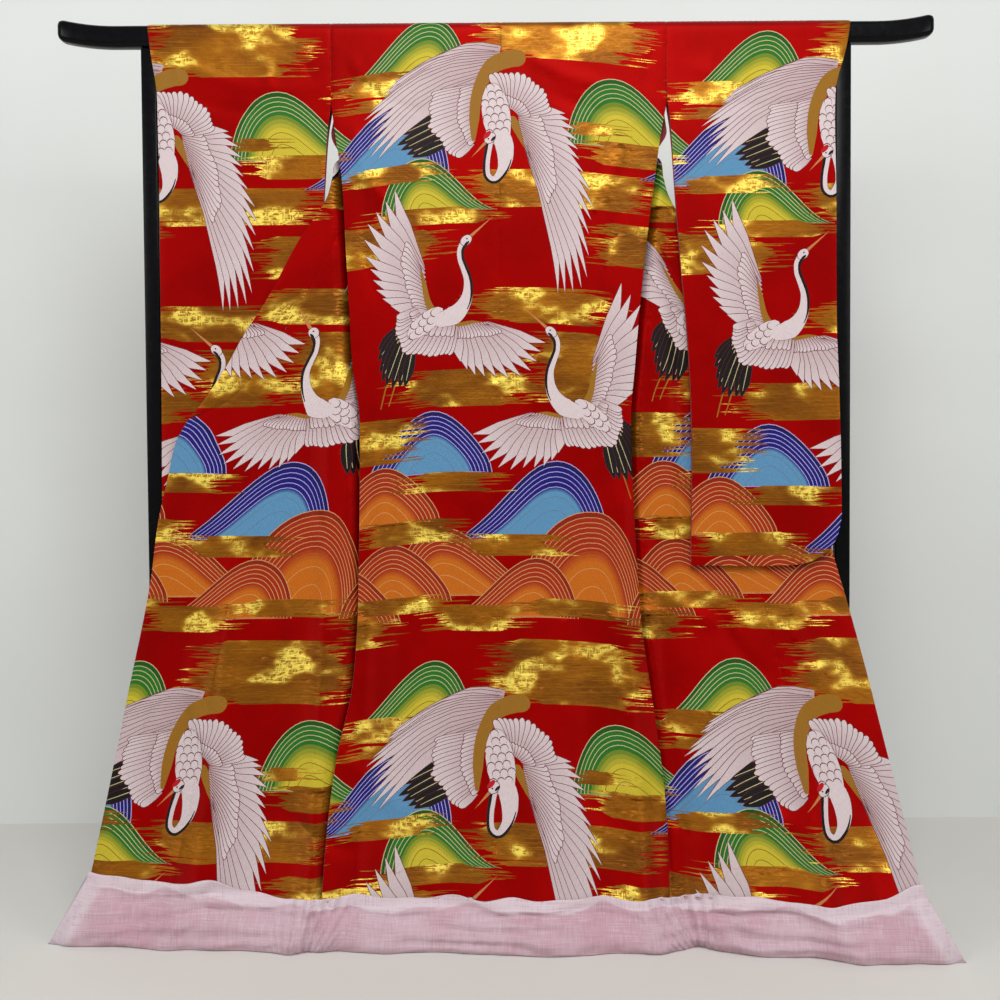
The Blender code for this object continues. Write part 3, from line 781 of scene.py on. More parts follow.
FOLDS = [
    Fold(-0.700, -0.715, 0.006, 0.030, 0.60),
    Fold(-0.560, -0.640, -0.007, 0.030, 0.80),
    Fold(-0.470, -0.560, 0.009, 0.026, 0.90),
    Fold(-0.380, -0.430, -0.006, 0.034, 1.00),
    Fold(-0.300, -0.345, 0.012, 0.022, 1.25),
    Fold(-0.235, -0.270, -0.009, 0.022, 1.25),
    Fold(-0.165, -0.190, 0.008, 0.026, 1.10),
    Fold(-0.080, -0.100, -0.005, 0.034, 0.80),
    Fold(0.060, 0.070, 0.006, 0.040, 0.75),
    Fold(0.150, 0.180, -0.008, 0.028, 1.00),
    Fold(0.215, 0.255, 0.011, 0.022, 1.20),
    Fold(0.285, 0.330, -0.010, 0.022, 1.10),
    Fold(0.390, 0.420, 0.008, 0.028, 0.62),
    Fold(0.500, 0.500, -0.008, 0.026, 0.64),
    Fold(0.545, 0.570, 0.012, 0.024, 0.66),
    Fold(0.640, 0.660, -0.007, 0.026, 0.58),
]
FOLD_GROWTH = 0.55


class Crease(NamedTuple):
    """A short soft trough or ridge from one place to another. depth is forward, in metres."""

    x1: float
    z1: float
    x2: float
    z2: float
    depth: float
    width: float


CREASES = [
    Crease(-0.6, 1.62, -0.34, 1.57, 0.0022, 0.012),
    Crease(-0.56, 1.55, -0.4, 1.53, -0.002, 0.01),
    Crease(-0.22, 1.66, -0.1, 1.6, 0.0025, 0.012),
    Crease(-0.28, 1.6, -0.12, 1.52, -0.0022, 0.01),
    Crease(-0.27, 1.5, -0.2, 1.34, 0.0028, 0.011),
    Crease(-0.24, 1.4, -0.22, 1.16, -0.0022, 0.009),
    Crease(0.05, 1.64, 0.22, 1.57, 0.0024, 0.012),
    Crease(0.1, 1.56, 0.27, 1.52, -0.0022, 0.01),
    Crease(0.25, 1.48, 0.2, 1.28, 0.0028, 0.01),
    Crease(0.23, 1.34, 0.22, 1.12, -0.0021, 0.009),
    Crease(0.36, 1.61, 0.56, 1.58, 0.0021, 0.011),
    Crease(0.42, 1.54, 0.6, 1.55, -0.0018, 0.01),
    Crease(-0.3, 1.06, -0.24, 0.86, 0.0031, 0.012),
    Crease(-0.36, 0.94, -0.31, 0.7, -0.0028, 0.011),
    Crease(-0.44, 0.8, -0.37, 0.52, 0.0031, 0.013),
    Crease(-0.2, 0.9, -0.17, 0.66, -0.0021, 0.012),
    Crease(-0.05, 0.74, -0.03, 0.52, 0.002, 0.014),
    Crease(0.12, 0.92, 0.13, 0.7, 0.002, 0.012),
    Crease(0.24, 0.98, 0.24, 0.78, -0.0025, 0.011),
    Crease(0.31, 0.62, 0.42, 0.56, 0.0034, 0.013),
    Crease(0.4, 0.6, 0.5, 0.46, -0.0031, 0.012),
    Crease(0.54, 0.64, 0.6, 0.44, 0.0034, 0.014),
    Crease(-0.58, 0.52, -0.52, 0.3, 0.0031, 0.013),
    Crease(-0.66, 0.44, -0.62, 0.24, -0.0028, 0.012),
    Crease(-0.3, 0.34, -0.14, 0.22, 0.0031, 0.013),
    Crease(-0.4, 0.24, -0.26, 0.16, -0.0034, 0.012),
    Crease(0.08, 0.32, 0.2, 0.18, 0.0031, 0.013),
    Crease(0.26, 0.28, 0.36, 0.18, -0.0034, 0.012),
    Crease(0.4, 0.3, 0.56, 0.2, 0.0034, 0.014),
    Crease(0.6, 0.36, 0.68, 0.2, -0.0031, 0.013),
    Crease(-0.600, 1.64, -0.592, 1.575, 0.0016, 0.006),
    Crease(-0.505, 1.64, -0.512, 1.600, 0.0012, 0.005),
    Crease(-0.428, 1.64, -0.418, 1.560, 0.0017, 0.007),
    Crease(-0.352, 1.64, -0.350, 1.590, -0.0013, 0.006),
    Crease(-0.262, 1.64, -0.256, 1.570, 0.0016, 0.006),
    Crease(-0.168, 1.64, -0.176, 1.600, 0.0012, 0.005),
    Crease(-0.050, 1.64, -0.046, 1.585, -0.0012, 0.006),
    Crease(0.082, 1.64, 0.086, 1.565, 0.0015, 0.006),
    Crease(0.190, 1.64, 0.204, 1.590, 0.0014, 0.006),
    Crease(0.292, 1.64, 0.288, 1.560, -0.0014, 0.006),
    Crease(0.402, 1.64, 0.410, 1.600, 0.0014, 0.005),
    Crease(0.478, 1.64, 0.470, 1.570, 0.0016, 0.007),
    Crease(0.590, 1.64, 0.598, 1.590, 0.0012, 0.006),
]


class BackRow(NamedTuple):
    """The back's edges at one height."""

    height: float
    left: float
    centre: float
    right: float


BACK = [
    BackRow(1.693, 0.3100, 0.008, 0.3200),
    BackRow(1.550, 0.3100, 0.007, 0.3200),
    BackRow(1.482, 0.3030, 0.006, 0.3090),
    BackRow(1.411, 0.2930, 0.005, 0.2990),
    BackRow(1.281, 0.2860, 0.004, 0.2820),
    BackRow(1.162, 0.2805, 0.003, 0.2690),
    BackRow(1.052, 0.2750, 0.002, 0.2590),
    BackRow(0.940, 0.2620, 0.000, 0.2500),
    BackRow(0.684, 0.2650, -0.003, 0.2580),
    BackRow(0.551, 0.2680, -0.005, 0.2660),
    BackRow(0.434, 0.2780, -0.006, 0.2810),
    BackRow(0.330, 0.3010, -0.007, 0.2940),
    BackRow(0.202, 0.3160, -0.008, 0.3030),
    BackRow(0.080, 0.3220, -0.008, 0.3020),
]


class FrontRow(NamedTuple):
    """A front panel, its overlap panel and its collar at one height, as widths of cloth."""

    height: float
    free: float
    front: float
    overlap: float
    collar: float
    side_back: float
    parted: float


FRONT_LEFT = [
    FrontRow(1.6917, 0.025, 0.2135, 0.000, 0.070, 0.0200, 0.0045),
    FrontRow(1.6600, 0.026, 0.2135, 0.000, 0.070, 0.0400, 0.0045),
    FrontRow(1.6000, 0.080, 0.2200, 0.000, 0.070, 0.0400, 0.0160),
    FrontRow(1.5500, 0.130, 0.2320, 0.000, 0.070, 0.0380, 0.0270),
    FrontRow(1.4900, 0.238, 0.2500, 0.000, 0.070, 0.0250, 0.0300),
    FrontRow(1.4400, 0.300, 0.2650, 0.000, 0.070, 0.0030, 0.0270),
    FrontRow(1.4000, 0.310, 0.2750, 0.000, 0.070, 0.0000, 0.0230),
    FrontRow(1.3700, 0.318, 0.2800, 0.000, 0.070, 0.0000, 0.0220),
    FrontRow(1.2910, 0.370, 0.2950, 0.000, 0.070, 0.0000, 0.0200),
    FrontRow(1.1620, 0.443, 0.3000, 0.000, 0.070, 0.0000, 0.0180),
    FrontRow(1.1070, 0.480, 0.3000, 0.005, 0.070, 0.0000, 0.0170),
    FrontRow(1.0500, 0.512, 0.3000, 0.030, 0.065, 0.0000, 0.0160),
    FrontRow(0.9700, 0.568, 0.3000, 0.105, 0.035, 0.0000, 0.0150),
    FrontRow(0.9450, 0.588, 0.3000, 0.148, 0.000, 0.0000, 0.0150),
    FrontRow(0.9110, 0.607, 0.3000, 0.156, 0.000, 0.0000, 0.0145),
    FrontRow(0.8450, 0.623, 0.3000, 0.156, 0.000, 0.0000, 0.0140),
    FrontRow(0.7610, 0.642, 0.3000, 0.156, 0.000, 0.0000, 0.0130),
    FrontRow(0.6500, 0.656, 0.3000, 0.156, 0.000, 0.0000, 0.0120),
    FrontRow(0.4480, 0.693, 0.3000, 0.156, 0.000, 0.0000, 0.0100),
    FrontRow(0.2530, 0.726, 0.3000, 0.156, 0.000, 0.0000, 0.0090),
    FrontRow(0.1050, 0.751, 0.3000, 0.156, 0.000, 0.0000, 0.0080),
]
FRONT_RIGHT = [
    FrontRow(1.6917, 0.030, 0.2185, 0.000, 0.070, 0.0200, 0.0045),
    FrontRow(1.6600, 0.031, 0.2185, 0.000, 0.070, 0.0400, 0.0045),
    FrontRow(1.6000, 0.088, 0.2220, 0.000, 0.070, 0.0400, 0.0160),
    FrontRow(1.5500, 0.140, 0.2320, 0.000, 0.070, 0.0380, 0.0270),
    FrontRow(1.4900, 0.245, 0.2500, 0.000, 0.070, 0.0250, 0.0300),
    FrontRow(1.4400, 0.306, 0.2650, 0.000, 0.070, 0.0030, 0.0270),
    FrontRow(1.4000, 0.314, 0.2750, 0.000, 0.070, 0.0000, 0.0230),
    FrontRow(1.3700, 0.323, 0.2800, 0.000, 0.070, 0.0000, 0.0220),
    FrontRow(1.2910, 0.368, 0.2950, 0.000, 0.070, 0.0000, 0.0200),
    FrontRow(1.1620, 0.440, 0.3000, 0.000, 0.070, 0.0000, 0.0180),
    FrontRow(1.1070, 0.475, 0.3000, 0.005, 0.070, 0.0000, 0.0170),
    FrontRow(1.0500, 0.508, 0.3000, 0.030, 0.065, 0.0000, 0.0160),
    FrontRow(0.9700, 0.556, 0.3000, 0.105, 0.035, 0.0000, 0.0150),
    FrontRow(0.9450, 0.572, 0.3000, 0.148, 0.000, 0.0000, 0.0150),
    FrontRow(0.9110, 0.588, 0.3000, 0.156, 0.000, 0.0000, 0.0145),
    FrontRow(0.8450, 0.604, 0.3000, 0.156, 0.000, 0.0000, 0.0140),
    FrontRow(0.7060, 0.624, 0.3000, 0.156, 0.000, 0.0000, 0.0125),
    FrontRow(0.5980, 0.650, 0.3000, 0.156, 0.000, 0.0000, 0.0110),
    FrontRow(0.5240, 0.666, 0.3000, 0.156, 0.000, 0.0000, 0.0105),
    FrontRow(0.3880, 0.691, 0.3000, 0.148, 0.000, 0.0000, 0.0095),
    FrontRow(0.2450, 0.714, 0.3000, 0.136, 0.000, 0.0000, 0.0090),
    FrontRow(0.1050, 0.731, 0.3000, 0.134, 0.000, 0.0000, 0.0080),
]


class SleeveRow(NamedTuple):
    """A sleeve's inner and outer edge at one height."""

    height: float
    inner: float
    outer: float


SLEEVE_LEFT = [
    SleeveRow(1.693, 0.3104, 0.654),
    SleeveRow(1.640, 0.3104, 0.648),
    SleeveRow(1.550, 0.3104, 0.6370),
    SleeveRow(1.490, 0.3180, 0.6370),
    SleeveRow(1.380, 0.3260, 0.6370),
    SleeveRow(1.235, 0.3370, 0.6375),
    SleeveRow(1.044, 0.3520, 0.6375),
    SleeveRow(0.860, 0.3560, 0.6375),
    SleeveRow(0.660, 0.3520, 0.6370),
]
SLEEVE_RIGHT = [
    SleeveRow(1.693, 0.3204, 0.666),
    SleeveRow(1.640, 0.3204, 0.657),
    SleeveRow(1.560, 0.3204, 0.6370),
    SleeveRow(1.493, 0.3270, 0.6350),
    SleeveRow(1.377, 0.3340, 0.6370),
    SleeveRow(1.235, 0.3450, 0.6375),
    SleeveRow(1.110, 0.3560, 0.6380),
    SleeveRow(1.020, 0.3615, 0.6410),
    SleeveRow(0.867, 0.3640, 0.6430),
    SleeveRow(0.660, 0.3590, 0.6400),
]


class SleeveBottom(NamedTuple):
    """The sleeve's lower edge, with its rounded outer corner."""

    x: float
    height: float


SLEEVE_BOTTOM = [
    SleeveBottom(0.350, 0.670),
    SleeveBottom(0.500, 0.668),
    SleeveBottom(0.571, 0.673),
    SleeveBottom(0.600, 0.686),
    SleeveBottom(0.622, 0.706),
    SleeveBottom(0.637, 0.742),
    SleeveBottom(0.640, 0.760),
]
CUFF_LEVEL = 1.400
LAYERS_APART = {Side.LEFT: 0.0165, Side.RIGHT: 0.010}
LAYERS_SEWN = CLOTH + 0.0004
EDGE_ROUND = 0.030
PUSH_BACK = {Side.LEFT: 0.0075, Side.RIGHT: -0.0055}
JOIN_HIGH, JOIN_LOW = 1.640, 1.370


# ---------------------------------------------------------------- curves and the hanging form


@dataclass(frozen=True)
class Track:
    """A smooth curve through one column of a table, with no overshoot between its rows."""

    places: np.ndarray
    values: np.ndarray
    slopes: np.ndarray

    @classmethod
    def of(cls, rows: Sequence[NamedTuple], key: str, column: str) -> "Track":
        """Reads one column of a table against another.

        Args:
            rows: The table.
            key: The column that says where.
            column: The column that is followed.

        Returns:
            The curve.
        """
        places = np.array([getattr(row, key) for row in rows])
        values = np.array([getattr(row, column) for row in rows])
        if places[0] > places[-1]:
            places, values = places[::-1], values[::-1]
        slopes = np.gradient(values, places)
        for i, rise in enumerate(np.diff(values) / np.diff(places)):
            for end in (i, i + 1):
                low, high = sorted((0.0, 3.0 * rise))
                slopes[end] = min(max(slopes[end], low), high)
        return cls(places, values, slopes)

    def __call__(self, at: np.ndarray) -> np.ndarray:
        """The curve's value at each place."""
        at = np.clip(at, self.places[0], self.places[-1])
        i = np.clip(np.searchsorted(self.places, at, side="right") - 1, 0, len(self.places) - 2)
        span = self.places[i + 1] - self.places[i]
        t = (at - self.places[i]) / span
        return (
            self.values[i] * (1 + 2 * t) * (1 - t) ** 2
            + self.slopes[i] * span * t * (1 - t) ** 2
            + self.values[i + 1] * t * t * (3 - 2 * t)
            + self.slopes[i + 1] * span * t * t * (t - 1)
        )


def smooth(value: np.ndarray) -> np.ndarray:
    """0 to 1 with level ends."""
    held = np.clip(value, 0.0, 1.0)
    return held * held * (3.0 - 2.0 * held)


@dataclass
class Hanging:
    """The line that every layer hangs along, and the cloth's shape where it crosses the bar."""

    stand_depth: float
    reach: Track = field(default_factory=lambda: Track.of(HEM_LINE, "x", "reach"))
    top: Track = field(default_factory=lambda: Track.of(HEM_LINE, "x", "top"))
    over_length: float = 0.0
    over_depth: np.ndarray = field(default_factory=lambda: np.zeros(0))
    over_rise: np.ndarray = field(default_factory=lambda: np.zeros(0))
    over_along: np.ndarray = field(default_factory=lambda: np.zeros(0))

    def __post_init__(self) -> None:
        """Lays out the curve over the bar by its own length."""
        angle = np.radians(np.linspace(0.0, 89.85, 180))
        self.over_depth = np.cos(angle) ** 0.75 * DEPTH_AT_BAR
        self.over_rise = np.sin(angle) ** 0.75 * RISE_AT_BAR
        steps = np.hypot(np.diff(self.over_depth), np.diff(self.over_rise))
        self.over_along = np.concatenate([[0.0], np.cumsum(steps)])
        self.over_length = float(self.over_along[-1])

    @property
    def highest(self) -> float:
        """Where a panel ends on the bar's top, as a height measured along the cloth."""
        return BAR_MIDDLE + self.over_length

    def line(self, x: np.ndarray, height: np.ndarray) -> np.ndarray:
        """Y of the hanging line from the bar's middle."""
        drop = np.maximum(0.0, BAR_TOP - height) / (BAR_TOP - HEM_LEVEL)
        out = self.reach(x) * drop**LEAN_POWER
        for fold in FOLDS:
            growth = smooth((fold.start - height) / FOLD_GROWTH)
            middle = fold.x_high + (fold.x_low - fold.x_high) * (fold.start - height) / fold.start
            out = out + fold.depth * growth * np.exp(-(((x - middle) / fold.width) ** 2))
        return -DEPTH_AT_BAR - out - self.creases(x, height)

    def creases(self, x: np.ndarray, height: np.ndarray) -> np.ndarray:
        """How far the small creases stand forward."""
        out = np.zeros(np.broadcast(x, height).shape)
        for crease in CREASES:
            run = np.array([crease.x2 - crease.x1, crease.z2 - crease.z1])
            length = float(np.hypot(*run))
            along = ((x - crease.x1) * run[0] + (height - crease.z1) * run[1]) / length**2
            bow = 0.08 * length * np.sin(math.pi * np.clip(along, 0.0, 1.0))
            aside = ((x - crease.x1) * run[1] - (height - crease.z1) * run[0]) / length - bow
            ends = smooth(along / 0.35 + 0.3) * smooth((1.0 - along) / 0.35 + 0.3)
            out = out + crease.depth * ends * np.exp(-((aside / crease.width) ** 2))
        return out * smooth((1.640 - height) / 0.03)

    def over(self, along: np.ndarray) -> tuple[np.ndarray, np.ndarray]:
        """Depth from the bar's middle and true height, for heights above the bar's middle."""
        done = along - BAR_MIDDLE
        depth = np.interp(done, self.over_along, self.over_depth)
        return depth, BAR_MIDDLE + np.interp(done, self.over_along, self.over_rise)


# ---------------------------------------------------------------- panels


class Layer(Enum):
    """The materials of a panel, in the order of its slots."""

    SATIN = 0
    FOIL = 1
    FLOSS = 2
    LINING = 3


@dataclass(frozen=True)
class Edge:
    """One edge of a panel, and whether it is sewn or turned in, so that it rolls inwards."""

    points: np.ndarray
    rolled: bool


def inside(points: np.ndarray, outline: np.ndarray) -> np.ndarray:
    """Which points lie inside a closed outline."""
    found = np.zeros(len(points), bool)
    x, y = points[:, 0], points[:, 1]
    last = outline[-1]
    for here in outline:
        if here[1] != last[1]:
            crosses = (here[1] > y) != (last[1] > y)
            at = (last[0] - here[0]) * (y - here[1]) / (last[1] - here[1]) + here[0]
            found ^= crosses & (x < at)
        last = here
    return found


def from_edges(points: np.ndarray, starts: np.ndarray, ends: np.ndarray) -> np.ndarray:
    """The distance from each point to the nearest of some straight edges."""
    nearest = np.full(len(points), 1.0)
    run = ends - starts
    square = np.maximum((run**2).sum(1), 1e-12)
    for first in range(0, len(points), 4000):
        part = points[first : first + 4000, None, :] - starts[None]
        t = np.clip((part * run[None]).sum(2) / square[None], 0.0, 1.0)
        away = part - run[None] * t[..., None]
        nearest[first : first + 4000] = np.sqrt((away**2).sum(2).min(1))
    return nearest


MERGES = (1e-5, 2e-5, 4e-5, 3e-6)  # metres: how near points merge, tried until a cut has no crack
SLIVER = 1e-13  # square metres: twice the area of the least triangle kept at the border
ON_BORDER = 1e-4  # metres: nearer the border than this, an open edge is the border's own
FINE_FROM, FINE_STEP = 1.640, 0.0045  # metres: closer rows of points over the bar
SHARP = math.radians(55)
SLOPE_STEP = 0.0006  # metres: how far apart the cloth's slope is read
PLAIN_DYE = "c8141a"  # stored where there is no floss
REPEATS_ACROSS, REPEATS_UP = range(-4, 5), range(-2, 3)
LAY_REACH = 0.12  # metres: the furthest that the pattern lies from the loom's place on any panel


def closer(outline: np.ndarray, step: float = 0.013) -> np.ndarray:
    """A closed outline with further points wherever its corners lie more than a step apart."""
    found = []
    for first, last in zip(outline, np.roll(outline, -1, axis=0)):
        parts = max(1, math.ceil(float(np.hypot(*(last - first))) / step))
        found.append(first + (last - first) * np.arange(parts)[:, None] / parts)
    return np.concatenate(found)


def as_woven(points: np.ndarray) -> np.ndarray:
    """Leaves the pattern where the loom put it."""
    return points


@dataclass
class Cloth:
    """A stretch of brocade from the loom: the pattern's shapes wherever they fall in a box."""

    shapes: list[Shape]

    @classmethod
    def woven(cls) -> "Cloth":
        """Draws one repeat, turned into metres."""
        unit, origin = np.array(DRAFT_UNIT), np.array(DRAFT_ORIGIN)
        found = []
        for shape in Repeat().shapes():
            span = None if shape.span is None else shape.span * unit + origin
            found.append(replace(shape, outline=closer(shape.outline * unit + origin), span=span))
        return cls(found)

    def within(
        self, low: np.ndarray, high: np.ndarray, lay: Callable[[np.ndarray], np.ndarray]
    ) -> list[Shape]:
        """The shapes that touch a box, in the order that they cover each other.

        Args:
            low: The box's least corner.
            high: Its greatest corner.
            lay: Takes places of the pattern to places of the panel's cut.

        Returns:
            The shapes, laid on the cut.
        """
        repeat = np.array([REPEAT_WIDE, REPEAT_TALL]) * DRAFT_UNIT
        found = []
        for shape in self.shapes:
            least, most = shape.outline.min(0) - LAY_REACH, shape.outline.max(0) + LAY_REACH
            for i in REPEATS_ACROSS:
                for j in REPEATS_UP:
                    step = repeat * (i, j)
                    if not ((most + step > low).all() and (least + step < high).all()):
                        continue
                    outline = lay(shape.outline + step)
                    if (outline.max(0) > low).all() and (outline.min(0) < high).all():
                        span = None if shape.span is None else lay(shape.span + step)
                        found.append(replace(shape, outline=outline, span=span))
        return found


@dataclass
class Panel:
    """One panel of cloth: its cut, its hung form, and the mesh of its two faces and its edge.

    Attributes:
        node: The name of the solid that it stands for.
        edges: Its border, anticlockwise, in metres of cloth: across, and up from the floor.
        form: Gives the middle of the cloth in space for places on the cut.
        outward: 1 where the face seen with the pattern the right way round is the outside.
        grid: How far apart the mesh's own points lie.
        flat: The cut's width and length; not used.
        rests_on: What it hangs from or is sewn to; not used.
        tight: Further points where the cloth turns sharply.
        lay: Takes places of the pattern to places of the cut.
    """

    node: str
    edges: list[Edge]
    form: Callable[[np.ndarray, np.ndarray], np.ndarray]
    flat: tuple[float, float]
    rests_on: tuple[str, ...]
    outward: int = 1
    grid: float = 0.0106
    tight: np.ndarray = field(default_factory=lambda: np.zeros((0, 2)))
    lay: Callable[[np.ndarray], np.ndarray] = as_woven

    def build(self, cloth: Cloth, finishes: Sequence[bpy.types.Material]) -> bpy.types.Object:
        """Args:
            cloth: The woven pattern.
            finishes: The materials in the order of Layer.

        Returns:
            The finished piece.
        """
        border = np.concatenate([edge.points[:-1] for edge in self.edges])
        low, high = border.min(0), border.max(0)
        shapes = cloth.within(low, high, self.lay)
        points, faces = self.cut(border, self.fill(border, self.grid), [s.outline for s in shapes])
        loop = self.loops_of(faces)[0]
        rim = points[[a for a, _ in loop]]
        inner_points, inner_faces = self.cut(rim, self.fill(border, self.grid), [])
        where = {tuple(np.round(p, 6)): i for i, p in enumerate(inner_points)}
        count = len(points)
        outer = self.raised(points, CLOTH / 2)
        lining = self.raised(inner_points, -CLOTH / 2)
        turn = faces if self.outward > 0 else faces[:, ::-1]
        back = inner_faces[:, ::-1] if self.outward > 0 else inner_faces
        rims, lost = [], 0
        for a, b in loop:
            c = where.get(tuple(np.round(points[b], 6)))
            d = where.get(tuple(np.round(points[a], 6)))
            if c is None or d is None:
                lost += 1
                continue
            quad = (b, a, count + d, count + c)
            rims.append(quad if self.outward > 0 else quad[::-1])
        if lost:
            log.warning("%s has %d open edges", self.node, lost)
        mesh = bpy.data.meshes.new(self.node)
        all_faces = [*turn.tolist(), *(back + count).tolist(), *rims]
        mesh.from_pydata(np.concatenate([outer, lining]).tolist(), [], all_faces)
        picked = self.worn_by(points, faces, shapes)
        self.dress(
            mesh,
            np.concatenate([points, inner_points]),
            picked,
            shapes,
            len(inner_faces),
            len(rims),
        )
        for finish in finishes:
            mesh.materials.append(finish)
        mesh.shade_smooth()
        mesh.set_sharp_from_angle(angle=SHARP)
        piece = bpy.data.objects.new(f"{self.node}_cloth", mesh)
        bpy.context.scene.collection.objects.link(piece)
        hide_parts(self.node)
        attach(piece, "root")
        return piece

    def fill(self, border: np.ndarray, step: float) -> np.ndarray:
        """Points in staggered rows inside the border, with closer rows over the bar."""
        low, high = border.min(0), border.max(0)
        levels = list(np.arange(low[1] + step / 2, min(high[1], FINE_FROM), step))
        levels += list(np.arange(FINE_FROM, high[1] - 0.001, FINE_STEP))
        found = []
        for k, level in enumerate(levels):
            across = np.arange(low[0] + step * (0.5 if k % 2 else 1.0), high[0], step)
            found.append(np.stack([across, np.full(len(across), level)], 1))
        spots = np.concatenate([*found, self.tight])
        spots = spots[inside(spots, border)]
        after = np.roll(border, -1, axis=0)
        return spots[from_edges(spots, border, after) > 0.3 * step]

    def cut(
        self, border: np.ndarray, spots: np.ndarray, outlines: Sequence[np.ndarray]
    ) -> tuple[np.ndarray, np.ndarray]:
        """Triangles of the cut, with every outline kept as edges.

        Args:
            border: The closed border.
            spots: Points inside it.
            outlines: Closed outlines of the pattern.

        Returns:
            The points and the triangles, anticlockwise.
        """
        points, edges = [], []
        for outline in (border, *outlines):
            first = len(points)
            points += [tuple(p) for p in outline]
            count = len(outline)
            edges += [(first + k, first + (k + 1) % count) for k in range(count)]
        points += [tuple(p) for p in spots]
        after = np.roll(border, -1, axis=0)
        best: tuple[int, np.ndarray, np.ndarray] | None = None
        for merged in MERGES:
            out = delaunay_2d_cdt(points, edges, [], 0, merged, False)
            found = np.array([tuple(p) for p in out[0]])
            faces = np.array([f for f in out[2]], dtype=int)
            a, b, c = (found[faces[:, k]] for k in range(3))
            twice = (
                (b[:, 0] - a[:, 0]) * (c[:, 1] - a[:, 1])
                - (b[:, 1] - a[:, 1]) * (c[:, 0] - a[:, 0])
            )
            if float(twice.sum()) < 0:
                faces = faces[:, ::-1]
            middles = (a + b + c) / 3.0
            sound = np.abs(twice) > SLIVER
            sound[~sound] = from_edges(middles[~sound], border, after) > ON_BORDER
            faces = faces[inside(middles, border) & sound]
            loose = np.array([(p, q) for loop in self.loops_of(faces) for p, q in loop])
            torn = int((from_edges(found[loose].mean(1), border, after) > ON_BORDER).sum())
            if best is None or torn < best[0]:
                best = (torn, found, faces)
            if not torn:
                break
            log.info("%s: %d torn edges at a merge of %.0e", self.node, torn, merged)
        _, found, faces = best
        used, faces = np.unique(faces, return_inverse=True)
        return found[used], faces.reshape(-1, 3)

    @staticmethod
    def loops_of(faces: np.ndarray) -> list[list[tuple[int, int]]]:
        """The closed rows of edges that only one triangle uses, the longest first."""
        ends = np.concatenate([faces[:, [0, 1]], faces[:, [1, 2]], faces[:, [2, 0]]])
        ways = {(int(a), int(b)) for a, b in ends}
        loose = {a: b for a, b in ways if (b, a) not in ways}
        found = []
        while loose:
            start, here = next(iter(loose.items()))
            row = [(start, here)]
            del loose[start]
            while here != start and here in loose:
                row.append((here, loose.pop(here)))
                here = row[-1][1]
            found.append(row)
        return sorted(found, key=len, reverse=True)

    def raised(self, points: np.ndarray, thick: float) -> np.ndarray:
        """The cloth's face: its middle moved out by half its thickness, less at a rolled edge."""
        u, v = points[:, 0], points[:, 1]
        step = SLOPE_STEP
        across = self.form(u + step, v) - self.form(u - step, v)
        top = float(max(edge.points[:, 1].max() for edge in self.edges))
        up = self.form(u, np.minimum(v + step, top)) - self.form(u, v - step)
        normal = np.cross(across, up) * self.outward
        normal /= np.maximum(np.linalg.norm(normal, axis=1), 1e-12)[:, None]
        rolled = [edge.points for edge in self.edges if edge.rolled]
        height = np.full(len(points), thick)
        if rolled:
            starts = np.concatenate([p[:-1] for p in rolled])
            ends = np.concatenate([p[1:] for p in rolled])
            away = from_edges(points, starts, ends)
            height *= 0.40 + 0.60 * np.sqrt(smooth(away / 0.0030))
            wave = np.sin(v * 290 + 3 * np.sin(u * 31)) + 0.7 * np.sin(v * 173 + u * 90 + 1.3)
            height += 0.00016 * wave * np.exp(-away / 0.012)
        return self.form(u, v) + normal * height[:, None]

    @staticmethod
    def worn_by(points: np.ndarray, faces: np.ndarray, shapes: Sequence[Shape]) -> np.ndarray:
        """For each triangle, the number of the topmost shape that holds it, or -1."""
        middles = points[faces].mean(1)
        order = np.argsort(middles[:, 1])
        levels = middles[order, 1]
        picked = np.full(len(faces), -1)
        for k, shape in enumerate(shapes):
            low, high = shape.outline.min(0), shape.outline.max(0)
            first, last = np.searchsorted(levels, [low[1], high[1]])
            near = order[first:last]
            near = near[(middles[near, 0] > low[0]) & (middles[near, 0] < high[0])]
            if len(near):
                picked[near[inside(middles[near], shape.outline)]] = k
        return picked

    def dress(
        self,
        mesh: bpy.types.Mesh,
        cut: np.ndarray,
        picked: np.ndarray,
        shapes: Sequence[Shape],
        lined: int,
        rims: int,
    ) -> None:
        """Gives each face its material, its place on the cut and the colour of its floss."""
        yarns = np.array([shape.yarn.value for shape in shapes] + [Yarn.SATIN.value])
        slots = np.concatenate(
            [yarns[picked], np.full(lined, Layer.LINING.value), np.full(rims, Layer.LINING.value)]
        )
        mesh.polygons.foreach_set("material_index", slots.astype(np.int32))
        corners = np.empty(len(mesh.loops), np.int32)
        mesh.loops.foreach_get("vertex_index", corners)
        places = cut[corners]
        weave = mesh.uv_layers.new(name="weave")
        weave.data.foreach_set("uv", places.astype(np.float32).ravel())
        colours = np.tile(np.array([*linear(PLAIN_DYE), 1.0]), (len(corners), 1))
        worn = np.repeat(picked, 3)
        for k, shape in enumerate(shapes):
            if shape.near is None or shape.far is None:
                continue
            held = np.nonzero(worn == k)[0]
            if not len(held):
                continue
            near, far = np.array(linear(shape.near.value)), np.array(linear(shape.far.value))
            share = np.full(len(held), shape.blend)
            if shape.span is not None:
                start, end = shape.span
                run = end - start
                share = np.clip(
                    ((places[held] - start) @ run) / max(float(run @ run), 1e-9), 0.0, 1.0
                )
            colours[held, :3] = near + (far - near) * share[:, None]
        floss = mesh.color_attributes.new("floss", "FLOAT_COLOR", "CORNER")
        floss.data.foreach_set("color", colours.astype(np.float32).ravel())


# ---------------------------------------------------------------- the garment's panels


def along(first: float, last: float, step: float = 0.008) -> np.ndarray:
    """Even places from one to another, no further apart than a step."""
    return np.linspace(first, last, max(2, int(abs(last - first) / step) + 2))


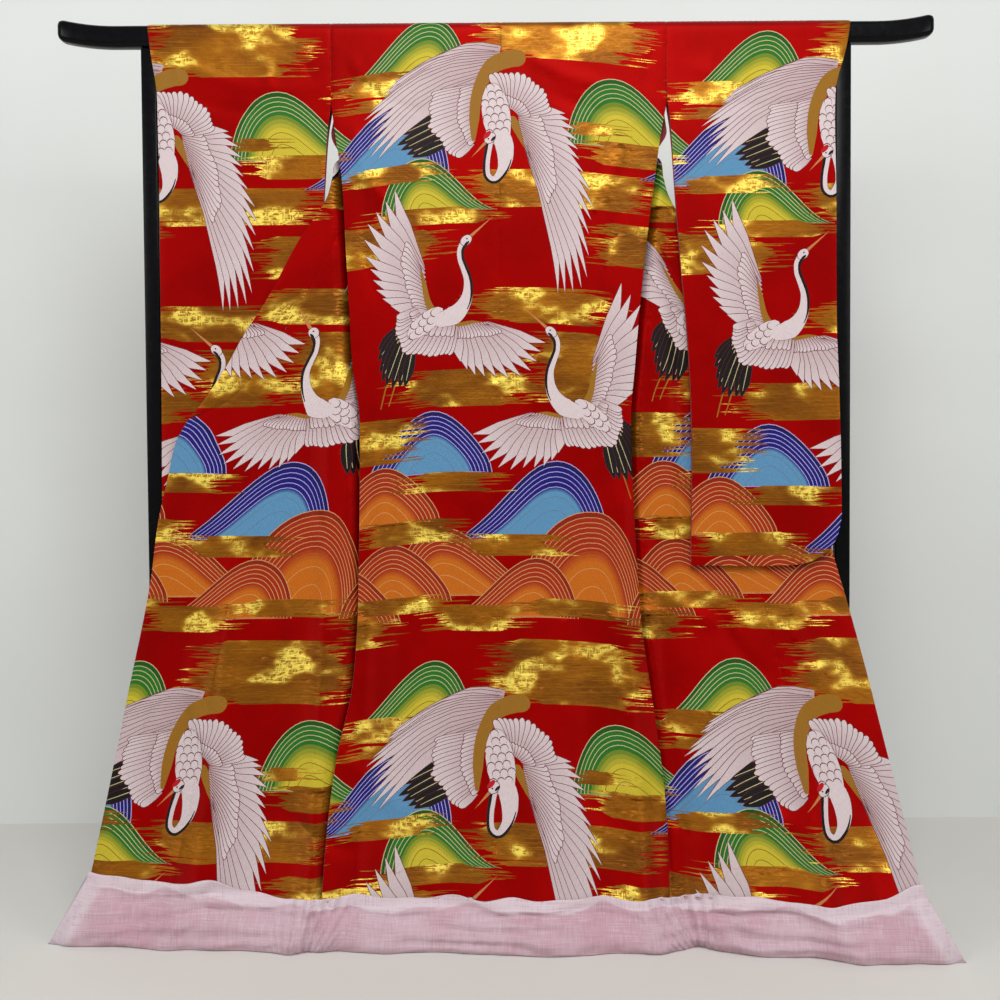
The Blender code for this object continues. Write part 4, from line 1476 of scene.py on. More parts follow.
def bordered(
    side: Side,
    bottom: np.ndarray,
    outer: np.ndarray,
    top: np.ndarray,
    inner: np.ndarray,
    rolled_foot: bool = False,
) -> list[Edge]:
    """A panel's border, anticlockwise, from edges that each run upwards or away from the middle."""
    if side is Side.RIGHT:
        return [
            Edge(bottom, rolled_foot),
            Edge(outer, True),
            Edge(top[::-1], False),
            Edge(inner[::-1], True),
        ]
    return [
        Edge(bottom[::-1], rolled_foot),
        Edge(inner, True),
        Edge(top, False),
        Edge(outer[::-1], True),
    ]


PATTERN_DROP = 0.031  # metres: how much lower the pattern lies on the sleeves


@dataclass
class Back:
    """The back: two straight widths joined by the centre seam."""

    hanging: Hanging
    centre: Track = field(default_factory=lambda: Track.of(BACK, "height", "centre"))
    sides: dict[Side, Track] = field(
        default_factory=lambda: {side: Track.of(BACK, "height", side.tag) for side in Side}
    )

    def seam(self, side: Side, height: np.ndarray) -> np.ndarray:
        """X of the centre edge."""
        return self.centre(height) + side.value * SEAM / 2

    def edge(self, side: Side, height: np.ndarray) -> np.ndarray:
        """X of the side edge."""
        return side.value * self.sides[side](height)

    def form(self, x: np.ndarray, along_cloth: np.ndarray) -> np.ndarray:
        """The middle of the cloth in space."""
        depth, over = self.hanging.over(along_cloth)
        high = along_cloth > BAR_MIDDLE
        height = np.where(high, over, along_cloth)
        y = np.where(high, -depth, self.hanging.line(x, along_cloth))
        return np.stack([x, y + self.hanging.stand_depth, height], 1)

    @staticmethod
    def lay(points: np.ndarray) -> np.ndarray:
        """The pattern sinks a little towards the side seams."""
        drop = PATTERN_DROP * smooth((np.abs(points[:, 0]) - 0.06) / 0.38)
        return points - np.stack([0.0 * drop, drop], 1)

    def panel(self, side: Side) -> Panel:
        """One half of the back."""
        shares = along(0.0, 1.0, 0.025)
        low_x = (
            self.seam(side, HEM_LEVEL)
            + (self.edge(side, HEM_LEVEL) - self.seam(side, HEM_LEVEL)) * shares
        )
        foot = self.hanging.top(low_x) + HEM_SEAM
        foot_x = self.seam(side, foot) + (self.edge(side, foot) - self.seam(side, foot)) * shares
        high = self.hanging.highest
        centre_up = along(foot[0], high)
        side_up = along(foot[-1], high)
        centre = np.stack([self.seam(side, centre_up), centre_up], 1)
        outer = np.stack([self.edge(side, side_up), side_up], 1)
        top_x = along(centre[-1, 0], outer[-1, 0])
        top = np.stack([top_x, np.full(len(top_x), high)], 1)
        bottom = np.stack([foot_x, foot], 1)
        bottom[0], bottom[-1] = centre[0], outer[0]
        edges = bordered(side, bottom, outer, top, centre)
        return Panel(
            f"back_{side.tag}", edges, self.form, (0.325, 1.64), ("top_bar",), lay=self.lay
        )


@dataclass
class Front:
    """One front: its panel, its overlap panel and its collar, which hang as one spread cloth.

    The cloth runs inward from the side seam, turns in a deep fold and comes out behind itself.
    """

    side: Side
    hanging: Hanging
    back: Back
    sleeve_edge: Track
    start: float = 0.0

    def __post_init__(self) -> None:
        """Finds the deep fold at closely spaced heights."""
        self.start = 0.264 if self.side is Side.LEFT else 0.246
        rows = FRONT_LEFT if self.side is Side.LEFT else FRONT_RIGHT
        names = ("free", "front", "overlap", "collar", "side_back", "parted")
        self.track = {name: Track.of(rows, "height", name) for name in names}
        level = np.arange(0.06, 1.72, 0.002)
        edge = self.back.sides[self.side](level)
        sewn = smooth((ARMHOLE_FOOT - level) / 0.05)
        first = edge - MITRE * (1.0 - sewn)
        shows = smooth((1.655 - level) / 0.04) * smooth((level - 1.445) / 0.05)
        reach = np.minimum(edge + LINING_SHOWS, self.sleeve_edge(level) - CLEAR_OF_SLEEVE)
        first = first + shows * np.maximum(0.0, reach - first)
        behind = self.track["side_back"](level) + SEAM_DEPTH * sewn
        width = (
            self.track["front"](level) + self.track["overlap"](level) + self.track["collar"](level)
        )
        parted = self.track["parted"](level)
        radius = 0.8 * parted
        low, high = np.zeros(len(level)), width.copy()
        for _ in range(40):
            inward = (low + high) / 2.0
            reach = np.hypot(width - inward, radius) - np.hypot(inward, radius)
            short = reach > self.track["free"](level) - first
            low, high = np.where(short, inward, low), np.where(short, high, inward)
        turn = first - np.hypot(inward, radius) + radius
        self.level = level
        self.fold = {
            "first": first,
            "behind": behind,
            "inward": inward,
            "turn": turn,
            "radius": radius,
            "parted": parted,
        }

    def at(self, name: str, height: np.ndarray) -> np.ndarray:
        """One of the deep fold's sizes at each height."""
        return np.interp(height, self.level, self.fold[name])

    def hung(self, cloth: np.ndarray, height: np.ndarray) -> np.ndarray:
        """Where cloth this far from the side seam hangs, below the bar."""
        first, inward, radius = (
            self.at("first", height), self.at("inward", height), self.at("radius", height)
        )
        x = self.at("turn", height) + np.hypot(cloth - inward, radius) - radius
        second = 0.5 + 0.5 * np.tanh((cloth - inward) / (0.7 * radius))
        outside = smooth((x - first + 0.003) / PASS_WIDTH) * second
        loose = smooth((1.65 - height) / 0.12)
        behind = self.at("behind", height) * (1.0 - outside)
        behind += self.at("parted", height) * second * (1.0 - outside)
        behind += FOLD_LEAN * loose * np.maximum(0.0, first - x)
        if self.side is Side.RIGHT:
            under = smooth((x - (self.sleeve_edge(height) - 0.045)) / 0.030)
            under *= smooth((1.43 - height) / 0.06) * smooth((height - 0.42) / 0.23)
            behind += BEHIND_SLEEVE * under * second
        line = self.hanging.line(self.side.value * np.maximum(x, 0.0), height)
        return np.stack([self.side.value * x, line + behind, height], 1)

    def form(self, place: np.ndarray, along_cloth: np.ndarray) -> np.ndarray:
        """The middle of the cloth in space, where place is across the pattern."""
        cloth = self.side.value * place - self.start
        depth, over = self.hanging.over(along_cloth)
        height = np.where(along_cloth > BAR_MIDDLE, over, along_cloth)
        point = self.hung(cloth, height)
        held = self.hung(cloth, np.full(len(cloth), 1.660))
        share = np.clip((along_cloth - 1.660) / (BAR_MIDDLE - 1.660), 0.0, 1.0)
        point[:, 1] = np.where(
            along_cloth > 1.660, held[:, 1] + (depth - held[:, 1]) * share, point[:, 1]
        )
        point[:, 1] += self.hanging.stand_depth
        return point

    def width(self, height: np.ndarray, *names: str) -> np.ndarray:
        """The width of one or more of the pieces, side by side."""
        return sum(self.track[name](height) for name in names)

    def place(self, cloth: np.ndarray) -> np.ndarray:
        """Across the pattern, for cloth this far from the side seam."""
        return self.side.value * (cloth + self.start)

    def foot(self, first: np.ndarray, last: np.ndarray) -> np.ndarray:
        """The lower edge between two places on the cloth, on the hem's line."""
        shares = along(0.0, 1.0, 0.03)
        cloth = first + (last - first) * shares
        x = self.hung(cloth, np.full(len(cloth), HEM_LEVEL))[:, 0]
        return np.stack([self.place(cloth), self.hanging.top(x) + HEM_SEAM], 1)

    def bend(self, first: Callable, last: Callable, low: float, high: float) -> np.ndarray:
        """Closer points where the cloth turns in the deep fold and where it comes forward again."""
        found = []
        for height in np.arange(low, high, 0.009):
            at = np.array([height])
            radius = float(self.at("radius", at)[0])
            inward = float(self.at("inward", at)[0])
            for k in range(-7, 8):
                found.append((inward + radius * 0.36 * k, height + 0.0045 * (k % 2)))
            seam = 2.0 * inward
            for k in range(-3, 5):
                found.append((seam + 0.0045 * k, height + 0.0045 * (k % 2)))
        spots = np.array(found)
        return np.stack([self.place(spots[:, 0]), spots[:, 1]], 1)

    def strip(
        self,
        node: str,
        first: Callable[[np.ndarray], np.ndarray],
        last: Callable[[np.ndarray], np.ndarray],
        low: float | None,
        high: float,
        flat: tuple[float, float],
        rests_on: tuple[str, ...],
        free: bool,
    ) -> Panel:
        """A piece of the spread cloth between two lines of its width.

        Args:
            node: The solid's name.
            first: Where it starts, as cloth from the side seam at each height.
            last: Where it ends.
            low: Its lower end, or None for the hem's line.
            high: Its upper end.
            flat: The cut's size.
            rests_on: What holds it.
            free: Whether its last edge is a free edge of the garment; not used.

        Returns:
            The panel.
        """
        if low is None:
            bottom = self.foot(first(np.array([HEM_LEVEL])), last(np.array([HEM_LEVEL])))
            foot_first, foot_last = bottom[0, 1], bottom[-1, 1]
        else:
            across = along(float(first(np.array([low]))[0]), float(last(np.array([low]))[0]))
            bottom = np.stack([self.place(across), np.full(len(across), low)], 1)
            foot_first = foot_last = low
        up = along(foot_first, high)
        near = np.stack([self.place(first(up)), up], 1)
        up = along(foot_last, high)
        far = np.stack([self.place(last(up)), up], 1)
        across = along(near[-1, 0], far[-1, 0])
        top = np.stack([across, np.full(len(across), high)], 1)
        bottom[0], bottom[-1] = near[0], far[0]
        edges = bordered(self.side, bottom, far, top, near)
        tight = self.bend(first, last, float(bottom[:, 1].min()), min(high, 1.66))
        return Panel(node, edges, self.form, flat, rests_on, tight=tight, lay=self.lay)

    def lay(self, points: np.ndarray) -> np.ndarray:
        """The front is cut a little off the loom's line, more so lower down."""
        height = np.clip(points[:, 1], 0.0, 1.60)
        if self.side is Side.LEFT:
            shift = 0.293 + 0.0343 * (1.0 - height)
        else:
            shift = 0.223 + 0.1078 * (1.1 - height)
        return np.stack([points[:, 0] - self.side.value * (shift - self.start), points[:, 1]], 1)

    def panels(self) -> list[Panel]:
        """The front panel, the overlap panel and the collar."""
        tag = self.side.tag

        def overlap_end(height: np.ndarray) -> np.ndarray:
            above = height > COLLAR_END
            sewn = self.width(height, "front", "overlap") - SEAM / 2
            return np.where(above, sewn, self.width(height, "front", "overlap", "collar"))

        def collar_start(height: np.ndarray) -> np.ndarray:
            eased = COLLAR_EASE * smooth((height - 1.44) / 0.05)
            return self.width(height, "front", "overlap") + SEAM + eased

        front = self.strip(
            f"front_{tag}",
            lambda height: 0.0 * height,
            lambda height: self.width(height, "front") - SEAM / 2,
            None,
            self.hanging.highest,
            (0.305, 1.64),
            ("top_bar",),
            False,
        )
        overlap = self.strip(
            f"okumi_{tag}",
            lambda height: self.width(height, "front") + SEAM / 2,
            overlap_end,
            None,
            1.118,
            (0.160, 1.00),
            (f"front_{tag}",),
            True,
        )
        collar = self.strip(
            f"collar_{tag}",
            collar_start,
            lambda height: self.width(height, "front", "overlap", "collar"),
            COLLAR_END + 0.002,
            1.6196,
            (0.072, 0.67),
            (f"front_{tag}",),
            True,
        )
        return [front, overlap, collar]


@dataclass
class Neck:
    """The collar's middle, which falls behind the bar between the two fronts."""

    hanging: Hanging

    def form(self, x: np.ndarray, height: np.ndarray) -> np.ndarray:
        """The middle of the cloth in space."""
        drop = COLLAR_TOP - height
        share = np.clip((x - NECK_ENDS[0]) / (NECK_ENDS[1] - NECK_ENDS[0]), 0.0, 1.0)
        sag = 0.004 * (1.0 - (2.0 * share - 1.0) ** 2) * np.maximum(0.0, drop) / COLLAR_WIDTH
        return np.stack([x, DEPTH_AT_BAR + sag + self.hanging.stand_depth, height], 1)

    def panel(self) -> Panel:
        """The neck's stretch of the collar."""
        down = along(0.0, COLLAR_WIDTH - 0.003)
        inward = NECK_TAPER * np.maximum(0.0, down - 0.020)
        left = np.stack([NECK_ENDS[0] + inward, COLLAR_TOP - down], 1)
        right = np.stack([NECK_ENDS[1] - inward, COLLAR_TOP - down], 1)
        top_x = along(left[0, 0], right[0, 0])
        low_x = along(left[-1, 0], right[-1, 0])
        top = np.stack([top_x, np.full(len(top_x), COLLAR_TOP)], 1)
        low = np.stack([low_x, np.full(len(low_x), left[-1, 1])], 1)
        edges = [Edge(low, True), Edge(right[::-1], True), Edge(top[::-1], True), Edge(left, True)]
        return Panel(
            "collar_neck",
            edges,
            self.form,
            (0.20, 0.070),
            ("front_left", "front_right"),
            outward=-1,
        )


@dataclass
class Sleeve:
    """A sleeve: one strip folded over the bar, sewn at the foot and below the mouth."""

    side: Side
    hanging: Hanging

    def __post_init__(self) -> None:
        """Reads the sleeve's edges."""
        rows = SLEEVE_LEFT if self.side is Side.LEFT else SLEEVE_RIGHT
        self.inner = Track.of(rows, "height", "inner")
        self.outer = Track.of(rows, "height", "outer")
        self.bottom = Track.of(SLEEVE_BOTTOM, "x", "height")

    def x(self, share: np.ndarray, height: np.ndarray) -> np.ndarray:
        """Distance from the middle, from the inner edge, share 0, to the outer edge, share 1."""
        inner = self.inner(height)
        return inner + (self.outer(height) - inner) * share

    def form_of(self, front: bool) -> Callable[[np.ndarray, np.ndarray], np.ndarray]:
        """The form of the near layer, or of the far one."""

        def form(place: np.ndarray, along_cloth: np.ndarray) -> np.ndarray:
            depth, over = self.hanging.over(along_cloth)
            high = along_cloth > BAR_MIDDLE
            height = np.where(high, over, along_cloth)
            x = self.side.value * place
            inner, outer = self.inner(height), self.outer(height)
            share = (x - inner) / (outer - inner)
            foot = self.bottom(self.x(share, np.full(len(x), SLEEVE_BOTTOM[0].height)))
            joined = smooth((JOIN_HIGH - height) / (JOIN_HIGH - JOIN_LOW))
            near = self.hanging.line(place, height) + PUSH_BACK[self.side] * joined
            from_foot = smooth((height - foot) / EDGE_ROUND)
            from_edge = smooth((outer - x) / EDGE_ROUND)
            closed_edge = smooth((CUFF_LEVEL - height) / 0.04)
            part = from_foot * (1.0 - closed_edge * (1.0 - from_edge))
            hanging = LAYERS_SEWN + (LAYERS_APART[self.side] - LAYERS_SEWN) * part
            apart = 2.0 * DEPTH_AT_BAR * (1.0 - joined) + hanging * joined
            y = near + apart if front else near
            y = np.where(high, depth if front else -depth, y)
            return np.stack([place, y + self.hanging.stand_depth, height], 1)

        return form

    def panels(self) -> list[Panel]:
        """The back half and the front half."""
        shares = along(0.0, 1.0, 0.02)
        foot = self.bottom(self.x(shares, np.full(len(shares), SLEEVE_BOTTOM[0].height)))
        bottom = np.stack([self.side.value * self.x(shares, foot), foot], 1)
        high = self.hanging.highest
        up = along(foot[0], high)
        inner = np.stack([self.side.value * self.inner(up), up], 1)
        up = along(foot[-1], high)
        outer = np.stack([self.side.value * self.outer(up), up], 1)
        across = along(inner[-1, 0], outer[-1, 0])
        top = np.stack([across, np.full(len(across), high)], 1)
        bottom[0], bottom[-1] = inner[0], outer[0]
        edges = bordered(self.side, bottom, outer, top, inner, rolled_foot=True)
        found = []
        for front in (False, True):
            node = f"sleeve_{self.side.tag}_{'front' if front else 'back'}"
            found.append(
                Panel(
                    node,
                    edges,
                    self.form_of(front),
                    (0.33, 1.06),
                    ("top_bar",),
                    outward=-1 if front else 1,
                    lay=lambda points: points - np.array([0.0, PATTERN_DROP]),
                )
            )
        return found


# ---------------------------------------------------------------- the hem's gauze cover


@dataclass
class HemBand:
    """The padded hem in its gauze cover: a soft roll on the floor, tacked above to the cloth."""

    hanging: Hanging
    sections: int = 420
    low_ends: tuple[float, float] = (-0.822, 0.800)
    high_ends: tuple[float, float] = (-0.752, 0.732)
    puckers: tuple[float, float] = (-0.320, 0.318)
    lap: float = 0.003
    profile: tuple[tuple[float, float], ...] = (
        (-0.0014, 1.00),
        (0.0018, 1.00),
        (0.0036, 0.99),
        (0.0062, 0.90),
        (0.0085, 0.86),
        (0.0200, 0.62),
        (0.0300, 0.36),
        (0.0330, 0.16),
        (0.0290, 0.03),
        (0.0230, 0.00),
        (-0.0010, 0.00),
        (-0.0060, 0.08),
        (-0.0065, 0.40),
    )

    def crimp(self, x: np.ndarray, rise: np.ndarray) -> np.ndarray:
        """Folds of the gauze: swags along the roll, runs across it, and rays from the gathers."""
        swag = 19 * rise + 2.6 * np.sin(x * 8 + 1) + 1.2 * np.sin(x * 21 - 6 * rise)
        out = 0.0046 * np.sin(swag) * (0.55 + 0.45 * np.sin(x * 13 + 2)) * smooth(rise / 0.25)
        out -= 0.0050 * np.exp(
            -(((rise - 0.74 - 0.05 * np.sin(x * 17) - 0.03 * np.sin(x * 41)) / 0.055) ** 2)
        )
        out += (
            0.0018 * np.sin(x * 61 + 9 * rise + 2 * np.sin(x * 17)) * (0.6 + 0.4 * np.sin(x * 7))
        )
        out += 0.0008 * np.sin(x * 143 - 14 * rise + 3 * np.sin(x * 23 + 1.0))
        for pucker in self.puckers:
            near = np.exp(-(((x - pucker) / 0.060) ** 2))
            out += 0.0042 * near * np.sin((x - pucker) * 300 / (0.45 + 0.6 * rise) + 1.5)
        edge = np.exp(-(((rise - 0.86) / 0.10) ** 2))
        out += 0.0016 * edge * np.sin(x * 88 + 3 * np.sin(x * 29)) * (0.5 + 0.5 * np.sin(x * 11))
        return out

    def build(self, finish: bpy.types.Material) -> bpy.types.Object:
        across = curve([(f, r) for f, r in self.profile] + [self.profile[0]], 4)
        rounds = len(across) - 1
        bpy.ops.object.select_all(action="DESELECT")
        bpy.ops.mesh.primitive_grid_add(
            x_subdivisions=self.sections, y_subdivisions=rounds - 1, size=1.0
        )
        piece = bpy.context.object
        piece.name = "hem_gauze_roll"
        mesh = piece.data
        spots = np.empty(len(mesh.vertices) * 3)
        mesh.vertices.foreach_get("co", spots)
        spots = spots.reshape(-1, 3) + 0.5
        share = spots[:, 0]
        turn = np.round(spots[:, 1] * (rounds - 1)).astype(int)
        forward, rise = across[turn, 0], np.clip(across[turn, 1], 0.0, 1.0)
        high_x = self.high_ends[0] + (self.high_ends[1] - self.high_ends[0]) * share
        low_x = self.low_ends[0] + (self.low_ends[1] - self.low_ends[0]) * share
        top = self.hanging.top(high_x)
        middle = self.hanging.line(high_x, top)
        end = smooth(np.minimum(share, 1.0 - share) / 0.02)
        fullness = 0.45 + 0.55 * end
        for pucker in self.puckers:
            fullness -= 0.30 * np.exp(-(((high_x - pucker) / 0.016) ** 2))
        fullness *= 1.0 + 0.05 * np.sin(high_x * 19 + 1.0) * smooth(forward / 0.01)
        swell = np.where((rise < 0.97) & (rise > 0.0), fullness, 1.0)
        out = (
            forward * swell
            + self.crimp(high_x, rise) * smooth(forward / 0.004) * smooth(rise / 0.06) * end
        )
        height = top * rise
        lapped = smooth((rise - 0.90) / 0.08) * smooth(forward / 0.0015)
        waves = (
            0.5
            + 0.30 * np.sin(high_x * 37 + 2 * np.sin(high_x * 9))
            + 0.20 * np.sin(high_x * 71 + 1)
        )
        height = height + (self.lap + 0.009 * waves) * lapped
        placed = np.stack(
            [low_x + (high_x - low_x) * rise, middle - out + self.hanging.stand_depth, height], 1
        )
        mesh.vertices.foreach_set("co", placed.astype(np.float32).ravel())
        mesh.update()
        doubled = smooth(
            (rise - 0.84 + 0.05 * np.sin(high_x * 23) + 0.04 * np.sin(high_x * 57 + 1)) / 0.05
        )
        doubled = np.maximum(
            doubled, smooth((0.035 - np.minimum(share, 1.0 - share)) / 0.02) * 0.8
        )
        layer = mesh.color_attributes.new("doubled", "FLOAT_COLOR", "POINT")
        layer.data.foreach_set("color", np.repeat(doubled, 4).astype(np.float32))
        self.close(piece)
        mesh.materials.append(finish)
        bpy.ops.object.shade_smooth()
        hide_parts("hem_cover")
        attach(piece, "root")
        log.info("hem_gauze_roll: %d faces", len(mesh.polygons))
        return piece

    def close(self, piece: bpy.types.Object) -> None:
        """Joins the grid's two long edges, fills the ends and turns every face outward."""
        bpy.ops.object.mode_set(mode="EDIT")
        bpy.ops.mesh.select_mode(type="EDGE")
        bpy.ops.mesh.select_all(action="DESELECT")
        bpy.ops.object.mode_set(mode="OBJECT")
        mesh = piece.data
        per_row = self.sections + 1
        rows = len(mesh.vertices) // per_row
        for edge in mesh.edges:
            a, b = edge.vertices
            level = {a // per_row, b // per_row}
            edge.select = level in ({0}, {rows - 1})
        bpy.ops.object.mode_set(mode="EDIT")
        bpy.ops.mesh.bridge_edge_loops()
        bpy.ops.mesh.select_all(action="SELECT")
        bpy.ops.mesh.fill_holes(sides=0)
        bpy.ops.mesh.select_all(action="SELECT")
        bpy.ops.mesh.normals_make_consistent(inside=False)
        bpy.ops.object.mode_set(mode="OBJECT")


# ---------------------------------------------------------------- the stand


@dataclass
class Stand:
    """The lacquered stand: a bar with turned-up ends, two uprights, a rail and two sled feet."""

    depth: float
    half_length: float = 0.825
    end_rise: float = 0.014
    end_run: float = 0.110
    post_outer: float = 0.669
    post_width: float = 0.0295
    post_depth: float = 0.018
    foot_reach: float = 0.135
    foot_height: float = 0.095
    foot_tip: float = 0.026
    foot_width: float = 0.052
    rail_height: float = 0.045
    rail_bottom: float = 0.185
    joint_gap: float = 0.0003

    def build(self, finish: bpy.types.Material) -> list[bpy.types.Object]:
        """Makes all six timbers."""
        made = [self.bar(finish)]
        for side in Side:
            inner, outer = sorted(
                (side.value * self.post_outer, side.value * (self.post_outer - self.post_width))
            )
            low = (inner, self.depth - self.post_depth / 2, self.foot_height + self.joint_gap)
            high = (
                outer,
                self.depth + self.post_depth / 2,
                BAR_TOP - 2 * BAR_HALF_HEIGHT - self.joint_gap,
            )
            post = self.block(f"upright_{side.tag}_timber", low, high)
            self.finish(post, f"upright_{side.tag}", finish, 0.003)
            made.append(post)
            made.append(self.foot(side, (inner + outer) / 2, finish))
        rail_end = self.post_outer - self.post_width - self.joint_gap
        low = (-rail_end, self.depth - 0.010, self.rail_bottom)
        high = (rail_end, self.depth + 0.010, self.rail_bottom + self.rail_height)
        rail = self.block("lower_rail_timber", low, high)
        self.finish(rail, "lower_rail", finish, 0.003)
        made.append(rail)
        return made

    @staticmethod
    def block(name: str, low: Sequence[float], high: Sequence[float]) -> bpy.types.Object:
        """A squared timber between two corners."""
        bpy.ops.object.select_all(action="DESELECT")
        middle = [(a + b) / 2 for a, b in zip(low, high)]
        bpy.ops.mesh.primitive_cube_add(size=1.0, location=middle)
        piece = bpy.context.object
        piece.name = name
        piece.scale = [b - a for a, b in zip(low, high)]
        bpy.ops.object.transform_apply(location=True, rotation=True, scale=True)
        return piece

    @staticmethod
    def pick(piece: bpy.types.Object, axis: int, way: int) -> None:
        """Selects the face furthest along an axis, in edit mode."""
        bpy.ops.object.mode_set(mode="EDIT")
        bpy.ops.mesh.select_mode(type="FACE")
        bpy.ops.mesh.select_all(action="DESELECT")
        bpy.ops.object.mode_set(mode="OBJECT")
        best = max(piece.data.polygons, key=lambda face: face.center[axis] * way)
        best.select = True
        bpy.ops.object.mode_set(mode="EDIT")

    @staticmethod
    def pull(shift: Sequence[float], scale: Sequence[float], centre: Sequence[float]) -> None:
        """Extrudes the selected face, moves it and resizes it about a point."""
        bpy.ops.mesh.extrude_region_move(TRANSFORM_OT_translate={"value": tuple(shift)})
        bpy.ops.transform.resize(value=tuple(scale), center_override=tuple(centre))

    def finish(
        self,
        piece: bpy.types.Object,
        node: str,
        finish: bpy.types.Material,
        bevel: float,
        segments: int = 4,
    ) -> None:
        """Eases the edges, gives the lacquer, and stands the piece in for its solid."""
        bpy.ops.object.select_all(action="DESELECT")
        bpy.context.view_layer.objects.active = piece
        piece.select_set(True)
        eased = piece.modifiers.new("Eased edges", "BEVEL")
        eased.width = bevel
        eased.segments = segments
        eased.limit_method = "ANGLE"
        eased.angle_limit = math.radians(40)
        bpy.ops.object.modifier_apply(modifier=eased.name)
        bpy.ops.object.shade_smooth_by_angle(angle=math.radians(50))
        piece.data.materials.clear()
        piece.data.materials.append(finish)
        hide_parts(node)
        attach(piece, "root")
        log.info("%s: %d faces", piece.name, len(piece.data.polygons))

    def bar(self, finish: bpy.types.Material) -> bpy.types.Object:
        """The top bar, drawn out from a straight middle into two rising ends."""
        straight = self.half_length - self.end_run
        low = (-straight, self.depth - BAR_HALF_DEPTH, BAR_TOP - 2 * BAR_HALF_HEIGHT)
        high = (straight, self.depth + BAR_HALF_DEPTH, BAR_TOP)
        piece = self.block("top_bar_timber", low, high)
        for way in (-1, 1):
            self.pick(piece, 0, way)
            rise = 0.0
            for k in range(1, 9):
                share = k / 8
                step = self.end_rise * share**2 - rise
                rise += step
                slim = 0.90 if k == 8 else 1.0
                at = (way * (straight + self.end_run * share), self.depth, BAR_MIDDLE + rise)
                self.pull((way * self.end_run / 8, 0.0, step), (1.0, slim, slim), at)
            bpy.ops.object.mode_set(mode="OBJECT")
        self.finish(piece, "top_bar", finish, 0.0105, 6)
        return piece

    def foot(self, side: Side, middle: float, finish: bpy.types.Material) -> bpy.types.Object:
        """A sled foot: flat below, falling in a curve from the upright to both tips."""
        half = self.foot_width / 2
        low = (middle - half, self.depth - 0.030, 0.0)
        high = (middle + half, self.depth + 0.030, self.foot_height)
        piece = self.block(f"foot_{side.tag}_timber", low, high)
        run = self.foot_reach - 0.030
        for way in (-1, 1):
            self.pick(piece, 1, way)
            tall, wide = self.foot_height, 1.0
            for k in range(1, 9):
                share = k / 8
                new_tall = (
                    self.foot_tip
                    + (self.foot_height - self.foot_tip) * (1.0 - float(smooth(np.array(share))))
                )
                new_wide = 1.0 - 0.18 * share
                at = (middle, self.depth + way * (0.030 + run * share), 0.0)
                self.pull((0.0, way * run / 8, 0.0), (new_wide / wide, 1.0, new_tall / tall), at)
                tall, wide = new_tall, new_wide
            bpy.ops.object.mode_set(mode="OBJECT")
        self.finish(piece, f"foot_{side.tag}", finish, 0.005)
        return piece


# ---------------------------------------------------------------- finishes


class Bench:
    """A material being mixed: it adds nodes and joins them."""

    def __init__(self, name: str) -> None:
        """Starts a material with only its shader and output."""
        self.material = bpy.data.materials.new(name)
        self.material.use_nodes = True
        self.tree = self.material.node_tree
        self.shader = self.tree.nodes["Principled BSDF"]

    def add(self, kind: str, inputs: dict | None = None, **settings: object) -> bpy.types.Node:
        """Adds a node.

        Args:
            kind: The node's type, without its ShaderNode prefix.
            inputs: Values or sockets for its inputs, by name or number.
            settings: Its own settings.

        Returns:
            The node.
        """
        node = self.tree.nodes.new(f"ShaderNode{kind}")
        for name, value in settings.items():
            setattr(node, name, value)
        for key, value in (inputs or {}).items():
            self.put(node.inputs[key], value)
        return node

    def put(self, socket: bpy.types.NodeSocket, value: object) -> None:
        """Sets a socket to a value, or links another socket to it."""
        if isinstance(value, bpy.types.NodeSocket):
            self.tree.links.new(value, socket)
        elif isinstance(value, tuple) and len(value) == 3 and socket.type == "RGBA":
            socket.default_value = (*value, 1.0)
        else:
            socket.default_value = value

    def places(self, across: float, up: float) -> bpy.types.NodeSocket:
        """The cloth's own metres, stretched."""
        return self.stretched(self.add("UVMap", uv_map="weave").outputs[0], (across, up, 1.0))

    def stretched(self, places: object, scale: tuple[float, float, float]) -> bpy.types.NodeSocket:
        """Places multiplied by a scale along each axis."""
        return self.add("Mapping", {"Vector": places, "Scale": scale}).outputs[0]

    def noise(
        self, places: object, scale: float, detail: float = 3.0, rough: float = 0.55
    ) -> bpy.types.NodeSocket:
        """Soft noise from 0 to 1."""
        inputs = {"Vector": places, "Scale": scale, "Detail": detail, "Roughness": rough}
        return self.add("TexNoise", inputs).outputs["Fac"]

    def ramp(
        self, value: object, low: float, high: float, first: float = 0.0, last: float = 1.0
    ) -> bpy.types.NodeSocket:
        """Takes low to first and high to last, with soft ends."""
        inputs = {"Value": value, 1: low, 2: high, 3: first, 4: last}
        return self.add("MapRange", inputs, interpolation_type="SMOOTHSTEP").outputs[0]

    def mix(self, share: object, first: object, last: object) -> bpy.types.NodeSocket:
        """One colour turning into another."""
        node = self.add("Mix", data_type="RGBA")
        self.put(node.inputs["Factor"], share)
        self.put(node.inputs[6], first)
        self.put(node.inputs[7], last)
        return node.outputs[2]

    def math(self, kind: str, first: object, second: object) -> bpy.types.NodeSocket:
        """Arithmetic on two numbers."""
        return self.add("Math", {0: first, 1: second}, operation=kind).outputs[0]

    def bump(
        self, height: object, distance: float, strength: float = 1.0, under: object = None
    ) -> bpy.types.NodeSocket:
        """A bump of a real height in metres, on top of another if one is given."""
        inputs = {"Height": height, "Distance": distance, "Strength": strength}
        if under is not None:
            inputs["Normal"] = under
        return self.add("Bump", inputs).outputs[0]

    def set(self, **values: object) -> bpy.types.Material:
        """Fills the shader's sockets, named with underscores, and hands over the material."""
        for name, value in values.items():
            self.put(self.shader.inputs[name.replace("_", " ")], value)
        return self.material


